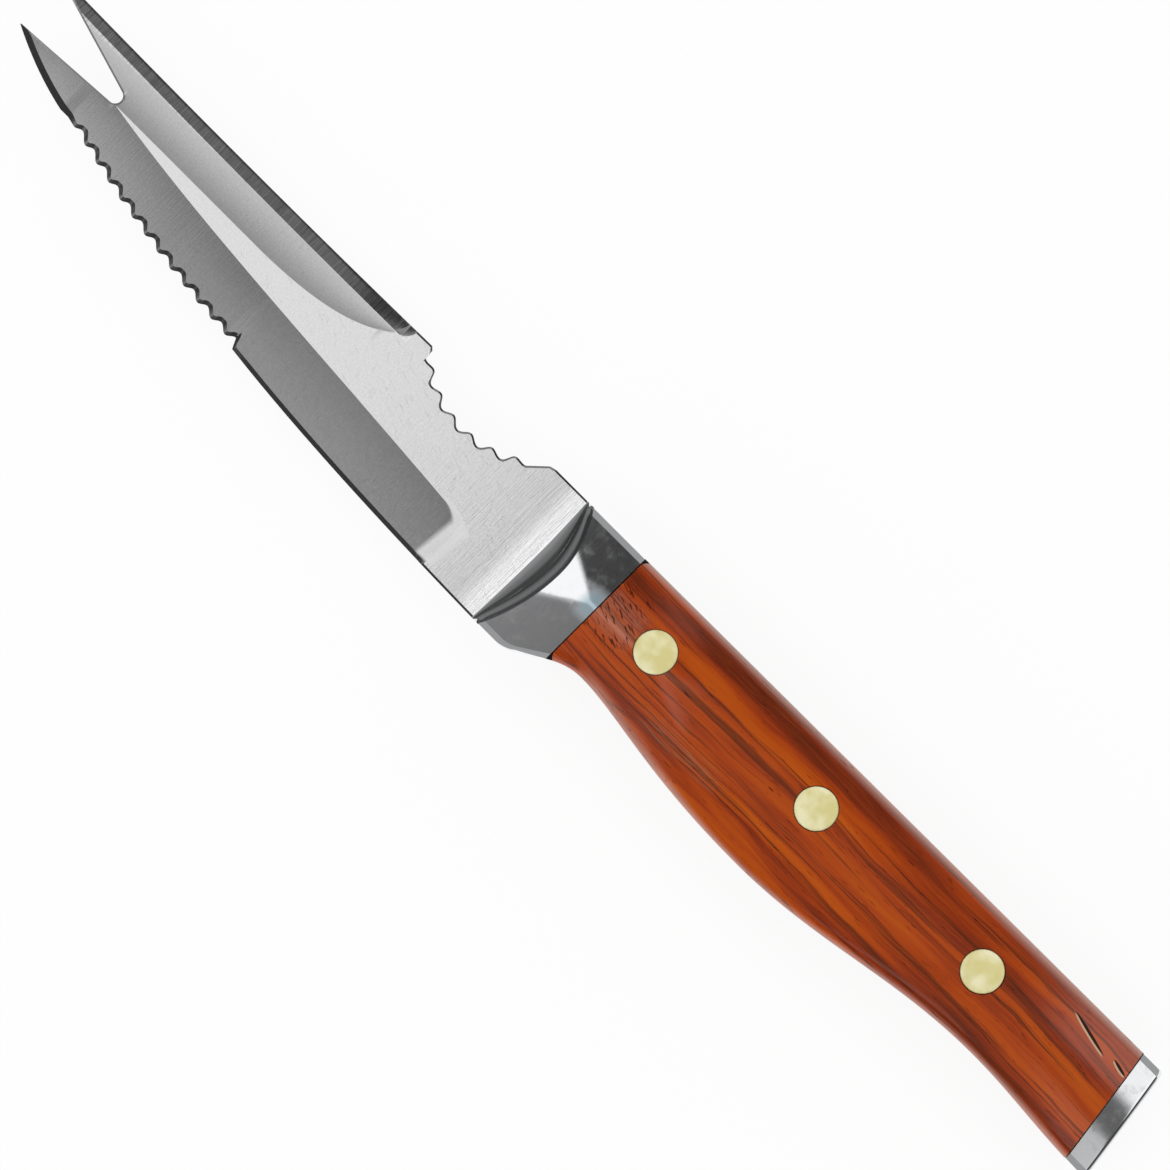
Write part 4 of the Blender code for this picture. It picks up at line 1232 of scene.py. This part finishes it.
def matte_hollow_end(x, y):
    """1 on the patch where the lower hollow runs out: along its leaning end and round its upper corner."""
    rise = y + HOLLOW_END_DEPTH / MM
    corner = rise.at_least(0.0)
    ending = x - rise * HOLLOW_END_LEAN + corner * corner
    matte = ending.rising(*MATTE_START) * ending.falling(*MATTE_END)
    return matte * y.rising(*MATTE_FOOT) * y.falling(*MATTE_TOP)


def satin_blade_steel():
    """Satin steel: grinding lines, clouds, scratches, dirt in the joints, a painted highlight on the flats
    before the bolster, and the hollow's matte end.
    """
    material, paint = new_paint("satin_blade_steel")
    place = paint.millimetres()
    x, y = drawing_axes(paint, place)
    lines = paint.noise(place, GRINDING_LINES, 3.0, 0.65)
    clouds = paint.noise(place, STEEL_CLOUDS, 3.0)
    speckle = paint.noise(place, STEEL_SPECKLE, 3.0, 0.7)
    east, north, _ = paint.axes(place)
    along = paint.noise(paint.shifted(place, y=east * SCRATCH_LEAN), SCRATCHES_ALONG)
    across = paint.noise(paint.shifted(place, x=north * CROSSED_LEAN), SCRATCHES_ACROSS)
    scratches = along.rising(*SCRATCH_STEP) + across.rising(*SCRATCH_STEP)
    false_edge = y.rising(*SWEDGE_STEP) * x.falling(*SWEDGE_REAR)
    behind = x + y * BUTT_LEAN - butt_line(0.0, 0.0) / MM
    dirt = x.within(*FRONT_DIRT) + behind.within(*REAR_DIRT)
    tone = 0.52 + lines * 0.07 + clouds * 0.05 + speckle * 0.2 - scratches * 0.04
    # The band ahead of the bolster is a painted highlight: lighter steel in the colour
    tone = tone + x.within(*PAINTED_HIGHLIGHT_BAND) * 0.3 + (lines - 0.45) * false_edge * 1.2 - dirt * 0.6
    rough = 0.07 + lines * 0.05 + clouds * 0.03 + scratches * 0.06 + dirt * 0.5
    height = lines * (1 + false_edge) + scratches * 0.4
    paint.surface({"Base Color": paint.mixed(tone, grey(0.0), grey(1.0)),
                   "Metallic": 1 - matte_hollow_end(x, y), "Roughness": rough,
                   "Normal": paint.bump(height, 0.02, 0.0004)})
    return material


def polished_steel(name, hair_repeats):
    """Polished steel: hairline scratches one way, small dull rub marks, a cool tint and a bluish painted
    reflection.
    """
    material, paint = new_paint(name)
    place = paint.millimetres()
    x, y = drawing_axes(paint, place)
    hairs = paint.noise(place, hair_repeats, 3.0, 0.6)
    rubs = paint.noise(place, RUB_MARKS, 4.0, 0.6)
    # A painted reflection: a bluish, less metallic patch that stands in for what the bolster's face reflects
    painted_reflection = patch(x, y, PAINTED_REFLECTION_PATCH)
    colour = paint.mixed(painted_reflection, paint.mixed(rubs, DIM_STEEL, PALE_STEEL), BLUE_PAINTED_REFLECTION)
    rough = 0.05 + hairs * 0.04 + rubs.rising(0.5, 0.8) * 0.06
    paint.surface({"Base Color": colour, "Metallic": 1 - painted_reflection * 0.55, "Roughness": rough,
                   "Normal": paint.bump(hairs, 0.004, 0.0003)})
    return material


def slit(x, y, centre, half_length, half_width):
    """A narrow leaning ellipse: 1 inside, fading to 0 at its rim."""
    along = x - centre[0]
    across = (y - centre[1] - along * CRACK_LEAN) / half_width
    along = along / half_length
    return (along * along + across * across).falling(0.6, 1.0)


def hardwood():
    """Oiled hardwood: orange and red-brown bands, dark streaks, slanting pores and two open cracks, with
    painted shade inside the back and belly edges, painted highlights along them, and a painted reflection by
    the bolster.
    """
    material, paint = new_paint("oiled_hardwood")
    place = paint.millimetres()
    x, y = drawing_axes(paint, place)
    wander = paint.noise(place, GRAIN_WANDER) - 0.5
    ripple = paint.noise(place, GRAIN_RIPPLE) - 0.5
    grain = paint.shifted(place, y=wander * 3.6 + ripple * 0.6)
    wave = ((x - SWELL_STATION / MM) / BELLY_WAVE_RADIAN).cosine() * BELLY_WAVE_HEIGHT
    above_belly = y + BELLY_MEAN_DEPTH + wave - x.rising(*BELLY_REAR_STEP) * BELLY_REAR_RISE
    # Painted shade: the bands are darkened inside the back edge and above the belly
    painted_shade = y.within(*PAINTED_BACK_SHADE) * x.falling(*PAINTED_BACK_SHADE_END) * 0.12 + above_belly.within(*PAINTED_BELLY_SHADE) * 0.1
    bands = paint.noise(grain, WOOD_BANDS, 3.0, 0.55) - painted_shade - y.rising(*DARKER_BACK) * 0.1 + 0.03
    streaks = paint.noise(grain, WOOD_STREAKS, 3.0, 0.6)
    fibres = paint.noise(grain, WOOD_FIBRES, 2.0, 0.6)
    pores = paint.noise(grain, WOOD_PORES).rising(0.66, 0.72)
    dashes = paint.noise(paint.shifted(place, y=x * DASH_LEAN), WOOD_DASHES, 1.0).rising(0.60, 0.66)
    open_grain = pores.at_least(dashes * patch(x, y, DASHED_PATCH))
    # Painted highlights: pale strips along the back edge and the belly edge
    belly_highlight = above_belly.falling(*PAINTED_BELLY_HIGHLIGHT) * x.rising(*PAINTED_BELLY_HIGHLIGHT_START)
    painted_edge_highlight = y.rising(*PAINTED_BACK_HIGHLIGHT) * 0.5 + belly_highlight * 0.4
    # Painted reflection: the coat's sheen near the bolster, painted paler along the fibres
    painted_sheen = patch(x, y, PAINTED_SHEEN_PATCH) * fibres.rising(0.3, 0.55)
    pale = patch(x, y, PALE_PATCH) * fibres.rising(0.5, 0.62)
    layers = [(streaks.rising(0.53, 0.64) * 0.8, DARK_STREAK), (painted_edge_highlight, PAINTED_HIGHLIGHT_WOOD),
              ((fibres - 0.5) * 0.6 + 0.1, ORANGE_FIBRE), (painted_sheen * 0.6, PAINTED_SHEEN_WOOD), (pale * 0.55, PALE_WOOD),
              (open_grain * 0.8, DARK_PORE)]
    for centre, half_length in CRACKS:
        cream = slit(x, y, (centre[0], centre[1] - RIM_SHIFT), half_length, RIM_HALF_WIDTH)
        dark = slit(x, y, centre, half_length, CRACK_HALF_WIDTH)
        layers += [(cream * 0.8, CRACK_CREAM), (dark, CRACK_DARK)]
        open_grain = open_grain.at_least(dark)
    paint.surface({"Base Color": paint.layered(paint.ramp(bands, BAND_STOPS), layers),
                   "Roughness": 0.22 + fibres * 0.12 + open_grain * 0.3, "Specular IOR Level": 0.03,
                   "Coat Weight": 0.95 - open_grain * 0.8, "Coat Roughness": 0.05, "Coat IOR": 1.6,
                   "Normal": paint.bump(fibres * 0.3 - open_grain, 0.12, 0.0003)})
    return material


def brass():
    """Pale brass: soft yellow and cream patches and fine crossed scratches."""
    material, paint = new_paint("pale_brass")
    place = paint.millimetres()
    patches = paint.noise(place, BRASS_PATCHES)
    scratches = paint.noise(place, BRASS_SCRATCHES)
    crossed = paint.noise(paint.shifted(place, x=CROSSED_SHIFT), BRASS_CROSSED)
    colour = paint.layered(YELLOW_BRASS, [(patches.rising(0.35, 0.65), CREAM_BRASS),
                                          (scratches.rising(0.6, 0.75) * 0.3, BRIGHT_BRASS)])
    paint.surface({"Base Color": colour, "Metallic": 0.25, "Roughness": 0.22 + patches * 0.1 + crossed * 0.08,
                   "Normal": paint.bump(scratches + crossed, 0.06, 0.0003)})
    return material


# Floor, light and camera


def floor_material():
    """White to the camera and to metal, with a share of plain diffuse that keeps the knife's shadow."""
    material, paint = new_paint("white_floor")
    rays = paint.node("ShaderNodeLightPath").outputs
    seen = Value(paint, rays["Is Camera Ray"]) + Value(paint, rays["Is Glossy Ray"])
    seen = seen + Value(paint, rays["Is Transmission Ray"])
    board = paint.node("ShaderNodeBsdfDiffuse", None, {"Color": grey(FLOOR_TONE)}).outputs[0]
    glow = paint.node("ShaderNodeEmission", None, {"Color": grey(1.0), "Strength": 1.0}).outputs[0]
    mixed = paint.node("ShaderNodeMixShader", None, {0: seen * FLOOR_GLOW, 1: board, 2: glow}).outputs[0]
    paint.node("ShaderNodeOutputMaterial", None, {"Surface": mixed})
    return material


def make_floor():
    """A white board just under the knife, wide enough to fill the picture."""
    corners = [(x * FLOOR_REACH, y * FLOOR_REACH, -HAIRLINE) for x, y in ((-1, -1), (1, -1), (1, 1), (-1, 1))]
    mesh = bpy.data.meshes.new("floor")
    mesh.from_pydata(corners, [], [(0, 1, 2, 3)])
    mesh.materials.append(floor_material())
    floor = linked("floor", mesh)


def near_room(along, aside):
    """Brightness of the room close to straight up, by how far to each side of it a reflection points.

    Metal tilted to the edge sees the dim lower side, level metal a bright strip, and metal tilted to the
    back the upper side; along the knife each changes where the bolster's and the butt's faces point.
    """
    lower = 0.08 + aside.rising(-0.33, -0.12) * 0.22 + along.falling(-0.125, -0.075) * 0.18
    lower = lower + along.falling(-0.165, -0.14) * 0.22 + along.rising(-0.078, -0.042) * 0.24
    lower = lower.towards(0.2, along.rising(-0.03, -0.01)).towards(0.07, along.rising(0.008, 0.02))
    lower = lower.towards(0.62, along.rising(*BUTT_FACES))
    upper = 0.8 - aside.rising(0.07, 0.25) * 0.41
    upper = upper.towards(0.035, along.rising(-0.035, -0.015))
    upper = upper.towards(STRIP_LIGHT, along.rising(*BUTT_FACES))
    strip = STRIP_LIGHT - along.rising(0.008, 0.018)
    return lower.towards(strip, aside.rising(-0.062, -0.045)).towards(upper, aside.rising(0.03, 0.06))


def far_room(room, along, aside, east, up):
    """The room lower down: a nearly black ring, a dim wall ahead of the tip, and a grey side."""
    ring = (along * along + aside * aside).rising(0.1, 0.2)
    room = room.towards(0.04 + aside.within(0.25, 0.8, 0.15) * 0.11, ring)
    wall = 0.3 - along.falling(-1.2, -0.3) * 0.12 - along.falling(-4.0, -1.0) * 0.12
    room = room.towards(wall, along.falling(-0.24, -0.18) * aside.rising(-0.6, -0.5))
    horizon = 0.36 + up.falling(-0.02, 0.08) * 1.2
    return room.towards(horizon, up.falling(0.48, 0.58) * east.rising(-0.7, -0.4))


def make_world():
    """A studio: an even white light, and for reflections a strip of soft light over a darker room."""
    world = bpy.data.worlds.new("studio")
    world.use_nodes = True
    bpy.context.scene.world = world
    paint = Paint(world.node_tree)
    east, north, up = paint.axes(paint.node("ShaderNodeTexCoord").outputs["Generated"])
    height = up.at_least(LEAST_HEIGHT)
    along = east / height
    aside = north / height
    room = far_room(near_room(along, aside), along, aside, east, up)
    glossy = Value(paint, paint.node("ShaderNodeLightPath").outputs["Is Glossy Ray"])
    light = {"Color": grey(1.0), "Strength": 1 + (room - 1) * glossy}
    background = paint.node("ShaderNodeBackground", None, light).outputs[0]
    paint.node("ShaderNodeOutputWorld", None, {"Surface": background})


def make_camera():
    """Straight above the knife through a long lens, turned so that the knife lies across the picture."""
    data = bpy.data.cameras.new("camera")
    data.lens = LENS
    data.sensor_width = SENSOR_WIDTH
    data.clip_start = CLIP_START
    data.clip_end = CLIP_END
    camera = linked("camera", data)
    distance = PICTURE_WIDTH * LENS / SENSOR_WIDTH
    camera.location = (CAMERA_AIM[0], CAMERA_AIM[1], distance + CAMERA_AIM[2])
    camera.rotation_euler = (0.0, 0.0, CAMERA_TURN)
    bpy.context.scene.camera = camera


def main():
    bpy.context.scene.view_settings.view_transform = "Standard"
    make_camera()
    make_world()
    make_floor()
    make_blade(satin_blade_steel())
    bolster_steel = polished_steel("polished_bolster_steel", HAIRS_ACROSS)
    wood = hardwood()
    for side_name, side in (("left", 1), ("right", -1)):
        make_bolster(side_name, side, bolster_steel)
        make_scale(side_name, side, wood)
    make_cap(polished_steel("polished_cap_steel", HAIRS_ALONG))
    rivet_brass = brass()
    for place in RIVET_STATIONS:
        make_rivet(place, rivet_brass)


main()
